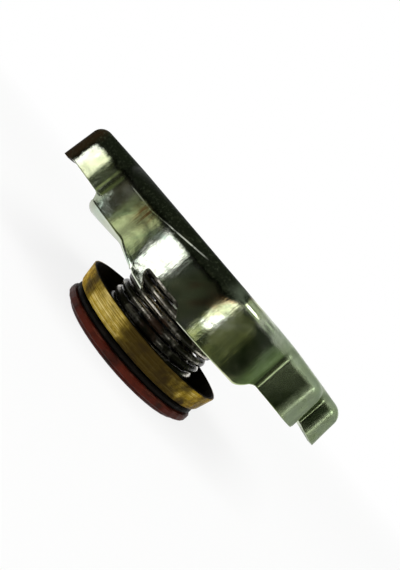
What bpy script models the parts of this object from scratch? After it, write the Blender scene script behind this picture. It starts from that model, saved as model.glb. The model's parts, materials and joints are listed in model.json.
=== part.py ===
"""Pressure cap for a large radiator filler neck: an eared, stamped cover over a sprung
pressure valve with a small vacuum valve in its middle. Metres, +Z up, standing on its seal."""

import math

import bmesh
import bpy
from mathutils import Matrix, Vector

# Clearances
SEAT_GAP = 0.00025
RUNNING_CLEARANCE = 0.0003

# Cover, a stamped sheet: round body, two ears along X, flared skirt
COVER_THICKNESS = 0.0010
BODY_RADIUS = 0.0294
SHOULDER_RADIUS = 0.0023
SKIRT_FLARE_DEG = 4.5
EAR_LENGTH = 0.0059
EAR_STEP_LENGTH = 0.0008
EAR_WIDTH_SHARE = 0.667
EAR_TIP_INSET = 0.0056
EAR_TIP_SLANT = 0.0029
EAR_ROOT_LENGTH = 0.0034
EAR_ROOT_TAPER = 0.0004
EAR_CORNER_RADIUS = 0.0029
EAR_CLAW_CORNER_RADIUS = 0.0036
EAR_NECK_RADIUS = 0.0022
EAR_BEND_RADIUS = 0.0060
EAR_STEP_RADIUS = 0.0014
EAR_DROOP_PLUS_DEG = 4.6
EAR_DROOP_MINUS_DEG = 1.2
EAR_DROOP_START = 0.0170
EAR_DROOP_BEND = 0.0060
RECESS_MARGIN = 0.0090
RECESS_DEPTH = 0.0016
RECESS_EDGE_RADIUS = 0.0010
RECESS_EDGE_DROP = 0.3

# Depth of the skirt below the top plate, round the body and along the ears
SKIRT_DEPTH = 0.0113
TONGUE_LENGTH = 0.0010
TONGUE_ROOT_RISE = 0.0007
TONGUE_KNEE_RISE = 0.0004
EAR_ROOT_DEPTH = 0.0088
EAR_FLANK_DEPTH = 0.0082
EAR_FLANK_START = 0.75
EAR_TIP_DEPTH = 0.0073
EAR_TIP_CLAW_SIDE_DEPTH = 0.0092
EAR_TIP_RISE = 0.0006
SKIRT_RISE_FROM_DEG = 40.5
SKIRT_RISE_TO_DEG = 46.0
TONGUE_START_DEG = -18.3
TONGUE_KNEE_DEG = -6.5
TONGUE_TIP_DEG = -1.0

# Claws bent in under the filler neck's cam, one on each long side
CLAW_FROM_DEG = -43.5
CLAW_TO_DEG = -19.5
CLAW_DROP = 0.0006
CLAW_INNER_RISE = 0.0006
CLAW_BEND_RADIUS = 0.0018
CLAW_INNER_BEND_RADIUS = 0.0009
CLAW_REACH = 0.0048
CLAW_RAMP = 0.0006
CLAW_LEAD_DEG = 3.0
CLAW_SLOT_DEG = 1.2

# Notch in the skirt beside the tongue
NOTCH_FROM_DEG = -4.6
NOTCH_TO_DEG = 9.0
NOTCH_EXIT_DEG = 12.0
NOTCH_HEIGHT = 0.0021
NOTCH_CORNER_RADIUS = 0.0014

# Centre rivet
RIVET_RADIUS = 0.0024
RIVET_HEAD_RADIUS = 0.0056
RIVET_HEAD_HEIGHT = 0.0011
RIVET_DOME_RADIUS = 0.0020
RIVET_DOME_SHARE = 0.55
RIVET_RIM_SHARE = 0.4
RIVET_FOOT_RADIUS = 0.0038
RIVET_FOOT_HEIGHT = 0.0012
RIVET_FOOT_SHARE = 0.6

# Diaphragm and the gasket under its rim
DIAPHRAGM_THICKNESS = 0.0004
DIAPHRAGM_CLEARANCE = 0.0044
DIAPHRAGM_FLAT_MARGIN = 0.0005
DIAPHRAGM_RIM_WIDTH = 0.0058
DIAPHRAGM_DROP = 0.0022
DIAPHRAGM_BEND_RADIUS = 0.0040
DIAPHRAGM_RIM_BEND_RADIUS = 0.0030
NECK_GASKET_THICKNESS = 0.0018
NECK_GASKET_WIDTH = 0.0054

# Main spring and its seat washer
SPRING_RADIUS = 0.0118
SPRING_WIRE = 0.0016
SPRING_LENGTH = 0.0179
SPRING_MIDDLE_TURNS = 4.9
SPRING_END_GAP = 0.00015
SPRING_START_DEG = 60.0
SEAT_WASHER_THICKNESS = 0.0008
SEAT_WASHER_MARGIN = 0.0005

# Stirrup: a strap riveted at its middle, with feet hooked in under the guide's flange
STIRRUP_THICKNESS = 0.0010
STIRRUP_WIDTH = 0.0084
STIRRUP_BEND_RADIUS = 0.0016
STIRRUP_CLEARANCE = 0.0006
STIRRUP_FOOT_REACH = 0.0022

# Seal, backing ring, brass cup and the dished plate that clamps them
SEAL_RADIUS = 0.0175
SEAL_BORE_RADIUS = 0.0107
SEAL_THICKNESS = 0.0015
BEAD_HEIGHT = 0.0008
BEAD_RADIUS = 0.0152
BEAD_WIDTH = 0.0024
BEAD_CORNER_RADIUS = 0.0005
BACKING_THICKNESS = 0.0011
BACKING_INSET = 0.0005
CUP_THICKNESS = 0.0006
CUP_BASE_RADIUS = 0.0173
CUP_RIM_RADIUS = 0.0182
CUP_HEIGHT = 0.0043
CUP_CORNER_RADIUS = 0.0008
CENTRE_RAISE = 0.0026
CENTRE_FLAT_RADIUS = 0.0084
CENTRE_SLOPE = 0.0012
CENTRE_BEND_RADIUS = 0.0006
RETAINER_THICKNESS = 0.0005
RETAINER_BEAD_GAP = 0.0008
RETAINER_WALL_GAP = 0.0007

# Guide: an eyelet through the valve's centre
GUIDE_RADIUS = 0.0044
GUIDE_WALL = 0.0010
GUIDE_SHOULDER = 0.0006
GUIDE_FLANGE_RADIUS = 0.0066
GUIDE_FLANGE_THICKNESS = 0.0009
GUIDE_FLANGE_Z = 0.0126
GUIDE_LIP_RADIUS = 0.0056
GUIDE_LIP_THICKNESS = 0.0005
GUIDE_LEDGE_Z = 0.0084
GUIDE_LEDGE_THICKNESS = 0.0006
GUIDE_STEM_CLEARANCE = 0.0008

# Vacuum valve
VACUUM_GASKET_RADIUS = 0.0064
VACUUM_GASKET_THICKNESS = 0.0010
VACUUM_DISC_RADIUS = 0.0067
VACUUM_DISC_THICKNESS = 0.0005
STEM_RADIUS = 0.0010
STEM_HEAD_RADIUS = 0.0017
STEM_HEAD_HEIGHT = 0.0005
STEM_WASHER_RADIUS = 0.0029
STEM_WASHER_THICKNESS = 0.0005
VACUUM_SPRING_WIRE = 0.00040
VACUUM_SPRING_RADIUS = 0.0024
VACUUM_SPRING_LENGTH = 0.0038
VACUUM_SPRING_TURNS = 4.0

# Rounded edges of small turned pieces
SHEET_EDGE = 0.0002
RUBBER_EDGE = 0.0003
SOFT_EDGE = 0.0004

# Facets
ROUND_STEPS = 40
HIDDEN_ROUND_STEPS = 28
SMALL_ROUND_STEPS = 16
SPRING_STEPS = 16
SMALL_SPRING_STEPS = 10
BODY_STEP_DEG = 5.0
CORNER_STEP_DEG = 24.0
FILLET_STEPS = 3
FINE_FILLET = 0.0004
SMALL_FILLET = 0.0009
NEAREST_COLUMNS = 0.00025
ON_BODY_SLACK = 0.00005
BEARING_SLACK_DEG = 0.01
FILLET_REACH_SHARE = 0.48

# Sizes that follow from the ones above
EAR_REACH = BODY_RADIUS + EAR_LENGTH
EAR_STEP_X = BODY_RADIUS + EAR_STEP_LENGTH
EAR_HALF_WIDTH = BODY_RADIUS * EAR_WIDTH_SHARE
EAR_TIP_HALF_WIDTH = EAR_HALF_WIDTH - EAR_TIP_INSET
TONGUE_DEPTH = SKIRT_DEPTH + TONGUE_LENGTH
TONGUE_KNEE_DEPTH = TONGUE_DEPTH - TONGUE_KNEE_RISE
TONGUE_ROOT_DEPTH = SKIRT_DEPTH - TONGUE_ROOT_RISE
CLAW_DEPTH = SKIRT_DEPTH + CLAW_DROP
CLAW_INNER_DEPTH = SKIRT_DEPTH - CLAW_INNER_RISE
NOTCH_TOP_DEPTH = SKIRT_DEPTH - NOTCH_HEIGHT
DIAPHRAGM_RADIUS = BODY_RADIUS - COVER_THICKNESS - DIAPHRAGM_CLEARANCE
SEAT_WASHER_RADIUS = SPRING_RADIUS + SEAT_WASHER_MARGIN
DIAPHRAGM_FLAT_RADIUS = SEAT_WASHER_RADIUS + DIAPHRAGM_FLAT_MARGIN
BACKING_RADIUS = SEAL_RADIUS - BACKING_INSET
RETAINER_RADIUS = BEAD_RADIUS - BEAD_WIDTH / 2.0 - RETAINER_BEAD_GAP
RECESS_RADIUS = RIVET_RADIUS + RECESS_MARGIN

# Heights, from the floor up
SEAL_BASE_Z = BEAD_HEIGHT
BACKING_Z = SEAL_BASE_Z + SEAL_THICKNESS + SEAT_GAP
CUP_Z = BACKING_Z + BACKING_THICKNESS + SEAT_GAP
CUP_CENTRE_Z = CUP_Z + CENTRE_RAISE
RETAINER_CENTRE_Z = CUP_CENTRE_Z - SEAT_GAP - RETAINER_THICKNESS
GUIDE_LIP_Z = RETAINER_CENTRE_Z - SEAT_GAP - GUIDE_LIP_THICKNESS
SPRING_Z = CUP_Z + CUP_THICKNESS + SEAT_GAP
SPRING_TOP_Z = SPRING_Z + SPRING_LENGTH
SEAT_WASHER_Z = SPRING_TOP_Z + SEAT_GAP
DIAPHRAGM_TOP_Z = SEAT_WASHER_Z + SEAT_WASHER_THICKNESS + SEAT_GAP + DIAPHRAGM_THICKNESS
RECESS_FLOOR_Z = DIAPHRAGM_TOP_Z + SEAT_GAP + COVER_THICKNESS
TOP_Z = RECESS_FLOOR_Z + RECESS_DEPTH
STIRRUP_TOP_Z = SEAT_WASHER_Z - SEAT_GAP
STIRRUP_FOOT_Z = GUIDE_FLANGE_Z - SEAT_GAP
RIVET_HOLE_RADIUS = RIVET_RADIUS + RUNNING_CLEARANCE
GUIDE_HOLE_RADIUS = GUIDE_RADIUS + RUNNING_CLEARANCE


def clear_scene():
    for item in list(bpy.data.objects):
        bpy.data.objects.remove(item, do_unlink=True)


def new_collection(name):
    made = bpy.data.collections.new(name)
    bpy.context.scene.collection.children.link(made)
    return made


def new_material(name, colour, metallic, roughness):
    made = bpy.data.materials.new(name)
    made.use_nodes = True
    shader = made.node_tree.nodes["Principled BSDF"]
    shader.inputs["Base Color"].default_value = (*colour, 1.0)
    shader.inputs["Metallic"].default_value = metallic
    shader.inputs["Roughness"].default_value = roughness
    return made


clear_scene()
PARTS = new_collection("radiator_cap")
CUTTERS = new_collection("cutters")
ZINC = new_material("zinc_plate", (0.62, 0.64, 0.52), 1.0, 0.24)
BRASS = new_material("worn_brass", (0.62, 0.45, 0.14), 1.0, 0.32)
SPRING_STEEL = new_material("dark_spring_steel", (0.10, 0.09, 0.075), 1.0, 0.30)
BLACK_STEEL = new_material("black_steel", (0.05, 0.05, 0.05), 1.0, 0.40)
BLACK_RUBBER = new_material("black_rubber", (0.02, 0.02, 0.02), 0.0, 0.60)
RED_RUBBER = new_material("red_rubber", (0.24, 0.05, 0.02), 0.0, 0.50)


def add_object(name, data, material, parent, z=0.0, collection=PARTS):
    """An object made from mesh or curve data, at height z above its parent."""
    made = bpy.data.objects.new(name, data)
    collection.objects.link(made)
    made.parent = parent
    made.location = (0.0, 0.0, z)
    if material:
        data.materials.append(material)
    return made


def add_empty(name, parent=None, z=0.0):
    made = bpy.data.objects.new(name, None)
    PARTS.objects.link(made)
    made.parent = parent
    made.location = (0.0, 0.0, z)
    return made


def mesh_from(bm, name):
    mesh = bpy.data.meshes.new(name)
    bm.to_mesh(mesh)
    bm.free()
    return mesh


def smooth(obj, angle_deg=35.0):
    obj.data.shade_smooth()
    obj.data.set_sharp_from_angle(angle=math.radians(angle_deg))


def fillet_steps(radius):
    if radius < FINE_FILLET:
        return 1
    return 2 if radius < SMALL_FILLET else FILLET_STEPS


def fillet(corners, closed):
    """The points of a path through (u, v, radius) corners, each turned by an arc of its radius."""
    count = len(corners)
    path = []
    for index, (u, v, radius) in enumerate(corners):
        here = Vector((u, v))
        at_end = not closed and index in (0, count - 1)
        if at_end or radius <= 0.0:
            path.append(here)
            continue
        before = Vector(corners[index - 1][:2]) - here
        after = Vector(corners[(index + 1) % count][:2]) - here
        half = before.angle(after) / 2.0
        reach = min(radius / math.tan(half), FILLET_REACH_SHARE * min(before.length, after.length))
        radius = reach * math.tan(half)
        middle = (before.normalized() + after.normalized()).normalized()
        centre = here + middle * (radius / math.sin(half))
        first = here + before.normalized() * reach - centre
        last = here + after.normalized() * reach - centre
        sweep = first.angle_signed(last)
        steps = fillet_steps(radius)
        for step in range(steps + 1):
            turn = -sweep * step / steps
            cos_t = math.cos(turn)
            sin_t = math.sin(turn)
            arm = Vector((first.x * cos_t - first.y * sin_t, first.x * sin_t + first.y * cos_t))
            path.append(centre + arm)
    return path


def profile_mesh(name, corners, closed):
    """Edges in the XZ plane through (radius, height, fillet) corners."""
    bm = bmesh.new()
    verts = [bm.verts.new((point.x, 0.0, point.y)) for point in fillet(corners, closed)]
    pairs = list(zip(verts, verts[1:]))
    if closed:
        pairs.append((verts[-1], verts[0]))
    for pair in pairs:
        bm.edges.new(pair)
    return mesh_from(bm, name)


def add_screw(obj, steps):
    screw = obj.modifiers.new("turn", "SCREW")
    screw.axis = "Z"
    screw.angle = math.tau
    screw.steps = steps
    screw.render_steps = steps
    screw.use_merge_vertices = True
    screw.merge_threshold = 0.00001
    return screw


def turned(name, corners, material, parent, z=0.0, steps=ROUND_STEPS, closed=True):
    """A solid of revolution about Z; an open profile starts and ends on the axis."""
    obj = add_object(name, profile_mesh(name, corners, closed), material, parent, z)
    add_screw(obj, steps)
    return obj


def turned_sheet(name, corners, thickness, material, parent, z=0.0, steps=ROUND_STEPS):
    """A dished sheet: an open profile turned about Z, thickened away from its outer face."""
    obj = add_object(name, profile_mesh(name, corners, False), material, parent, z)
    add_screw(obj, steps)
    add_solidify(obj, thickness)
    return obj


def add_solidify(obj, thickness):
    solidify = obj.modifiers.new("thickness", "SOLIDIFY")
    solidify.thickness = thickness
    solidify.offset = -1.0
    solidify.use_even_offset = True
    return solidify


def ring(name, inner, outer, height, material, parent, z=0.0, edge=0.0, steps=ROUND_STEPS):
    """A flat ring standing on z, its outer corners rounded by edge."""
    corners = [
        (inner, height, 0.0),
        (outer, height, edge),
        (outer, 0.0, edge),
        (inner, 0.0, 0.0),
    ]
    return turned(name, corners, material, parent, z, steps)


def wire(name, points, diameter, material, parent, z=0.0):
    """A round wire along a chain of points, its ends capped."""
    curve = bpy.data.curves.new(name, "CURVE")
    curve.dimensions = "3D"
    curve.bevel_depth = diameter / 2.0
    curve.bevel_resolution = 2
    curve.use_fill_caps = True
    spline = curve.splines.new("POLY")
    spline.points.add(len(points) - 1)
    for point, place in zip(spline.points, points):
        point.co = (*place, 1.0)
    return add_object(name, curve, material, parent, z)


def coil(radius, start_deg, rises, steps_per_turn):
    """Points of a coil whose height grows by each (turns, rise) stage in turn."""
    points = []
    turned_by = 0.0
    height = 0.0
    for turns, rise in rises:
        steps = max(2, round(turns * steps_per_turn))
        for step in range(steps + (turned_by == 0.0)):
            share = (step + (turned_by > 0.0)) / steps
            angle = math.radians(start_deg) + math.tau * (turned_by + turns * share)
            place = (radius * math.cos(angle), radius * math.sin(angle), height + rise * share)
            points.append(place)
        turned_by += turns
        height += rise
    return points


def cutter(name, bm):
    obj = add_object(name, mesh_from(bm, name), None, None, 0.0, CUTTERS)
    obj.hide_render = True
    obj.display_type = "WIRE"
    return obj


def round_cutter(name, radius, low, high):
    bm = bmesh.new()
    bmesh.ops.create_cone(
        bm,
        cap_ends=True,
        segments=SMALL_ROUND_STEPS,
        radius1=radius,
        radius2=radius,
        depth=high - low,
    )
    obj = cutter(name, bm)
    obj.location.z = (low + high) / 2.0
    return obj


def add_cut(obj, tool):
    cut = obj.modifiers.new(tool.name, "BOOLEAN")
    cut.operation = "DIFFERENCE"
    cut.solver = "EXACT"
    cut.object = tool


def side_place(bearing_deg, radius):
    """A plan point on the long side that faces -Y, bearing_deg from its middle towards +X."""
    bearing = math.radians(bearing_deg)
    return Vector((radius * math.sin(bearing), -radius * math.cos(bearing)))


def body_arc(from_deg, to_deg):
    """(point, normal) pairs along the cover's round body, angles measured from +X."""
    steps = max(1, math.ceil((to_deg - from_deg) / BODY_STEP_DEG))
    pairs = []
    for step in range(steps + 1):
        angle = math.radians(from_deg + (to_deg - from_deg) * step / steps)
        spoke = Vector((math.cos(angle), math.sin(angle)))
        pairs.append((spoke * BODY_RADIUS, spoke))
    return pairs


def rounded_corner(before, corner, after, radius):
    """(point, normal) pairs of the arc that rounds one corner of an anticlockwise outline."""
    into = (corner - before).normalized()
    onward = (after - corner).normalized()
    turn = -into.angle_signed(onward)
    side = math.copysign(1.0, turn)
    first = Vector((into.y, -into.x))
    centre = corner - into * radius * math.tan(abs(turn) / 2.0) - first * radius * side
    steps = max(1, math.ceil(math.degrees(abs(turn)) / CORNER_STEP_DEG))
    pairs = []
    for step in range(steps + 1):
        normal = first.copy()
        normal.rotate(Matrix.Rotation(turn * step / steps, 2))
        pairs.append((centre + normal * radius * side, normal))
    return pairs


def ear_root():
    """Where the ear that reaches to +X leaves the round body on its -Y side."""
    root_y = EAR_HALF_WIDTH + EAR_ROOT_TAPER
    return Vector((math.sqrt(BODY_RADIUS**2 - root_y**2), -root_y))


def ear_outline():
    """Corners of the +X ear from root to root: stepped on one side, plain on the claw's side."""
    root = ear_root()
    far_root = Vector((root.x, -root.y))
    bend_x = root.x + EAR_ROOT_LENGTH
    half = EAR_HALF_WIDTH
    tip = EAR_TIP_HALF_WIDTH
    corners = [
        (root - Vector((-root.y, root.x)), 0.0),
        (root, EAR_NECK_RADIUS),
        (Vector((bend_x, -half)), EAR_BEND_RADIUS),
        (Vector((EAR_STEP_X, -half)), EAR_CORNER_RADIUS),
        (Vector((EAR_STEP_X, -tip)), EAR_STEP_RADIUS),
        (Vector((EAR_REACH, -tip)), EAR_CORNER_RADIUS),
        (Vector((EAR_REACH - EAR_TIP_SLANT, half)), EAR_CLAW_CORNER_RADIUS),
        (Vector((bend_x, half)), EAR_BEND_RADIUS),
        (far_root, EAR_NECK_RADIUS),
        (far_root + Vector((-far_root.y, far_root.x)), 0.0),
    ]
    outline = []
    for before, here, after in zip(corners, corners[1:], corners[2:]):
        outline += rounded_corner(before[0], here[0], after[0], here[1])
    return outline


def cover_outline():
    """The whole plan, anticlockwise from the middle of the side that faces -Y."""
    ear = ear_outline()
    first, last = (math.degrees(math.atan2(p.y, p.x)) for p in (ear[0][0], ear[-1][0]))
    half = body_arc(-90.0, first)[:-1] + ear + body_arc(last, 90.0)[1:-1]
    outline = half + [(-p, -n) for p, n in half]
    slot_end = CLAW_TO_DEG + CLAW_SLOT_DEG
    edges = (CLAW_FROM_DEG, CLAW_TO_DEG, slot_end, TONGUE_KNEE_DEG, TONGUE_TIP_DEG)
    for bearing in edges:
        for side in (1.0, -1.0):
            spoke = side_place(bearing, 1.0) * side
            outline.append((spoke * BODY_RADIUS, spoke))
    outline.sort(key=lambda pair: outline_turn(pair[0]))
    return drop_near(outline)


def outline_turn(point):
    """How far round a plan point lies, from the middle of the side that faces -Y."""
    return math.atan2(point.x, -point.y) % math.tau


def drop_near(outline):
    """The outline with points that nearly touch the one before left out."""
    kept = [outline[0]]
    for pair in outline[1:]:
        if (pair[0] - kept[-1][0]).length > NEAREST_COLUMNS:
            kept.append(pair)
    return kept


def blend(value, low, high, start, end):
    """A straight run from start to end as value goes from low to high."""
    share = min(1.0, max(0.0, (value - low) / (high - low)))
    return start + (end - start) * share


def on_body(point):
    return point.length < BODY_RADIUS + ON_BODY_SLACK


def bearing_of(point):
    """Degrees from the middle of the nearer long side, anticlockwise seen from above."""
    side = point if point.y < 0.0 else -point
    return math.degrees(math.atan2(side.x, -side.y))


def in_claw(point):
    bearing = bearing_of(point)
    return on_body(point) and CLAW_FROM_DEG - BEARING_SLACK_DEG < bearing < CLAW_TO_DEG + BEARING_SLACK_DEG


def claw_bend(point):
    """The claw's bend is widest at the end that the cam meets first."""
    bearing = bearing_of(point)
    ends = (CLAW_FROM_DEG, CLAW_TO_DEG)
    return blend(bearing, *ends, CLAW_BEND_RADIUS, CLAW_INNER_BEND_RADIUS)


def ear_tip_depth(point):
    """The ear's end hangs lowest at its tip, and lower on the side next to a claw."""
    claw_side = math.copysign(point.y, point.x * point.y)
    half = EAR_TIP_HALF_WIDTH
    edge = blend(claw_side, -half, half, EAR_TIP_DEPTH, EAR_TIP_CLAW_SIDE_DEPTH)
    return edge - blend(abs(point.x), EAR_STEP_X, EAR_REACH, EAR_TIP_RISE, 0.0)


def skirt_depth(point):
    """How far below the top plate the skirt's lower edge lies at a plan point."""
    if not on_body(point):
        reach = abs(point.x)
        root = BODY_RADIUS * EAR_FLANK_START
        if reach < EAR_STEP_X:
            return blend(reach, root, EAR_STEP_X, EAR_ROOT_DEPTH, EAR_FLANK_DEPTH)
        return ear_tip_depth(point)
    bearing = bearing_of(point)
    lead = CLAW_FROM_DEG - CLAW_LEAD_DEG
    if in_claw(point):
        edge = blend(bearing, CLAW_FROM_DEG, CLAW_TO_DEG, CLAW_DEPTH, CLAW_INNER_DEPTH)
        return edge - claw_bend(point)
    if bearing < CLAW_FROM_DEG:
        bend_depth = CLAW_DEPTH - CLAW_BEND_RADIUS
        return blend(bearing, lead, CLAW_FROM_DEG, EAR_ROOT_DEPTH, bend_depth)
    if bearing < TONGUE_KNEE_DEG:
        root = (TONGUE_START_DEG, TONGUE_KNEE_DEG)
        return blend(bearing, *root, TONGUE_ROOT_DEPTH, TONGUE_KNEE_DEPTH)
    if bearing < TONGUE_TIP_DEG + BEARING_SLACK_DEG:
        tip = (TONGUE_KNEE_DEG, TONGUE_TIP_DEG)
        return blend(bearing, *tip, TONGUE_KNEE_DEPTH, TONGUE_DEPTH)
    rise = (SKIRT_RISE_FROM_DEG, SKIRT_RISE_TO_DEG)
    return blend(bearing, *rise, SKIRT_DEPTH, EAR_ROOT_DEPTH)


def droop(x):
    """How far the ears bend down at a distance x from the middle."""
    past = abs(x) - EAR_DROOP_START
    if past <= 0.0:
        return 0.0
    slope = math.tan(math.radians(EAR_DROOP_PLUS_DEG if x > 0.0 else EAR_DROOP_MINUS_DEG))
    if past < EAR_DROOP_BEND:
        return slope * past**2 / (2.0 * EAR_DROOP_BEND)
    return slope * (past - EAR_DROOP_BEND / 2.0)


def cover_row(outline, place):
    """One ring of the cover's outer face; place gives (offset, depth) at a plan point."""
    row = []
    for point, normal in outline:
        offset, depth = place(point)
        spot = point + normal * offset
        row.append((spot.x, spot.y, -depth - droop(spot.x)))
    return row


def circle_row(outline, radius, depth):
    return [(*(point.normalized() * radius), -depth) for point, _ in outline]


def add_rows(bm, rows, closed):
    """Skin neighbouring rows of equal length with quads; returns the last row's vertices."""
    made = [[bm.verts.new(place) for place in row] for row in rows]
    return skin(bm, made, closed)


def skin(bm, made, closed):
    for upper, lower in zip(made, made[1:]):
        count = len(upper)
        for index in range(count if closed else count - 1):
            after = (index + 1) % count
            bm.faces.new((upper[index], lower[index], lower[after], upper[after]))
    return made[-1]


def claw_rows(outline, columns):
    """Rows of one claw from the skirt's lower edge round its bend and in along its lip."""
    flare = math.tan(math.radians(SKIRT_FLARE_DEG))
    rows = []
    for step in range(1, FILLET_STEPS + 3):
        turn = math.radians(90.0) * min(step, FILLET_STEPS + 1) / (FILLET_STEPS + 1)
        on_lip = step > FILLET_STEPS + 1
        row = []
        for order, index in enumerate(columns):
            point, normal = outline[index]
            bend = claw_bend(point)
            lip = CLAW_REACH - bend if on_lip else 0.0
            rise = CLAW_RAMP * order / (len(columns) - 1) if on_lip else 0.0
            inward = bend * (1.0 - math.cos(turn)) + lip
            start = skirt_depth(point)
            outer = (start - SHOULDER_RADIUS) * flare
            spot = point + normal * (outer - inward)
            height = rise - start - bend * math.sin(turn)
            row.append((spot.x, spot.y, height))
        rows.append(row)
    return rows


def notch_cutter(name, turn):
    """A wedge-sided block that cuts the notch in one long side of the skirt."""
    span = BODY_RADIUS + SHOULDER_RADIUS
    bottom = TONGUE_DEPTH + COVER_THICKNESS
    left = side_place(NOTCH_FROM_DEG, span).x
    tip = side_place(TONGUE_TIP_DEG, span).x
    right = side_place(NOTCH_TO_DEG, span).x
    leave = side_place(NOTCH_EXIT_DEG, span).x
    corners = [
        (tip, -bottom, 0.0),
        (leave, -bottom, 0.0),
        (leave, -SKIRT_DEPTH, 0.0),
        (right, -NOTCH_TOP_DEPTH, NOTCH_CORNER_RADIUS),
        (left, -NOTCH_TOP_DEPTH, NOTCH_CORNER_RADIUS),
        (left, -(NOTCH_TOP_DEPTH + SKIRT_DEPTH) / 2.0, NOTCH_CORNER_RADIUS),
        (tip, -TONGUE_DEPTH, 0.0),
    ]
    bm = bmesh.new()
    near = -BODY_RADIUS - SKIRT_DEPTH
    ring_verts = [bm.verts.new((p.x, near, p.y)) for p in fillet(corners, True)]
    face = bm.faces.new(ring_verts)
    moved = bmesh.ops.extrude_face_region(bm, geom=[face])["geom"]
    for vert in moved:
        if isinstance(vert, bmesh.types.BMVert):
            vert.co.y = -BODY_RADIUS / 2.0
    bmesh.ops.recalc_face_normals(bm, faces=bm.faces)
    obj = cutter(name, bm)
    obj.location.z = TOP_Z
    obj.rotation_euler.z = turn
    return obj


def build_cover(root):
    outline = cover_outline()
    flare = math.tan(math.radians(SKIRT_FLARE_DEG))
    edge = RECESS_EDGE_RADIUS
    rows = [
        circle_row(outline, RIVET_HOLE_RADIUS, RECESS_DEPTH),
        circle_row(outline, RECESS_RADIUS - edge, RECESS_DEPTH),
        circle_row(outline, RECESS_RADIUS, RECESS_EDGE_DROP * edge),
        circle_row(outline, RECESS_RADIUS + edge, 0.0),
        circle_row(outline, EAR_DROOP_START, 0.0),
    ]
    shoulder_steps = FILLET_STEPS + 1
    for step in range(shoulder_steps + 1):
        turn = math.radians(90.0 - SKIRT_FLARE_DEG) * step / shoulder_steps
        inset = SHOULDER_RADIUS * (math.sin(turn) - 1.0)
        depth = SHOULDER_RADIUS * (1.0 - math.cos(turn))
        rows.append(cover_row(outline, lambda point: (inset, depth)))
    rows.append(
        cover_row(
            outline,
            lambda point: ((skirt_depth(point) - SHOULDER_RADIUS) * flare, skirt_depth(point)),
        )
    )
    bm = bmesh.new()
    last = add_rows(bm, rows, True)
    for side in (1.0, -1.0):
        columns = [
            index
            for index, (point, _) in enumerate(outline)
            if in_claw(point) and point.y * side < 0.0
        ]
        tab = claw_rows(outline, columns)
        made = [[last[index] for index in columns]]
        made += [[bm.verts.new(place) for place in row] for row in tab]
        skin(bm, made, False)
    cover = add_object("cover_shell", mesh_from(bm, "cover_shell"), ZINC, root, TOP_Z)
    add_solidify(cover, COVER_THICKNESS)
    add_cut(cover, notch_cutter("notch_cutter_front", 0.0))
    add_cut(cover, notch_cutter("notch_cutter_back", math.pi))
    smooth(cover)


def build_rivet(root):
    foot_top = STIRRUP_TOP_Z - STIRRUP_THICKNESS - SEAT_GAP
    foot = foot_top - RIVET_FOOT_HEIGHT
    head = RECESS_FLOOR_Z + SEAT_GAP
    corners = [
        (0.0, head + RIVET_HEAD_HEIGHT, 0.0),
        (RIVET_HEAD_RADIUS * RIVET_DOME_SHARE, head + RIVET_HEAD_HEIGHT, RIVET_DOME_RADIUS),
        (RIVET_HEAD_RADIUS, head + RIVET_HEAD_HEIGHT * RIVET_RIM_SHARE, SOFT_EDGE),
        (RIVET_HEAD_RADIUS, head, 0.0),
        (RIVET_RADIUS, head, 0.0),
        (RIVET_RADIUS, foot_top, 0.0),
        (RIVET_FOOT_RADIUS, foot_top, 0.0),
        (RIVET_FOOT_RADIUS, foot + RIVET_FOOT_HEIGHT / 2.0, SOFT_EDGE),
        (RIVET_FOOT_RADIUS * RIVET_FOOT_SHARE, foot, SOFT_EDGE),
        (0.0, foot, 0.0),
    ]
    turned("centre_rivet", corners, ZINC, root, 0.0, SMALL_ROUND_STEPS, closed=False)


def build_head_stack(swivel):
    """What hangs from the rivet above the spring: diaphragm, gasket and seat washer."""
    top = DIAPHRAGM_TOP_Z
    rim_inner = DIAPHRAGM_RADIUS - DIAPHRAGM_RIM_WIDTH
    corners = [
        (RIVET_HOLE_RADIUS, top, 0.0),
        (DIAPHRAGM_FLAT_RADIUS, top, DIAPHRAGM_BEND_RADIUS),
        (rim_inner, top - DIAPHRAGM_DROP, DIAPHRAGM_RIM_BEND_RADIUS),
        (DIAPHRAGM_RADIUS, top - DIAPHRAGM_DROP, 0.0),
    ]
    steps = HIDDEN_ROUND_STEPS
    turned_sheet("diaphragm", corners, DIAPHRAGM_THICKNESS, BRASS, swivel, 0.0, steps)
    gasket_top = top - DIAPHRAGM_DROP - DIAPHRAGM_THICKNESS - SEAT_GAP
    ring(
        "neck_gasket",
        DIAPHRAGM_RADIUS - NECK_GASKET_WIDTH,
        DIAPHRAGM_RADIUS,
        NECK_GASKET_THICKNESS,
        BLACK_RUBBER,
        swivel,
        gasket_top - NECK_GASKET_THICKNESS,
        edge=RUBBER_EDGE,
        steps=steps,
    )
    ring(
        "spring_seat_washer",
        RIVET_HOLE_RADIUS,
        SEAT_WASHER_RADIUS,
        SEAT_WASHER_THICKNESS,
        BLACK_STEEL,
        swivel,
        SEAT_WASHER_Z,
        edge=SHEET_EDGE,
        steps=steps,
    )


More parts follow.
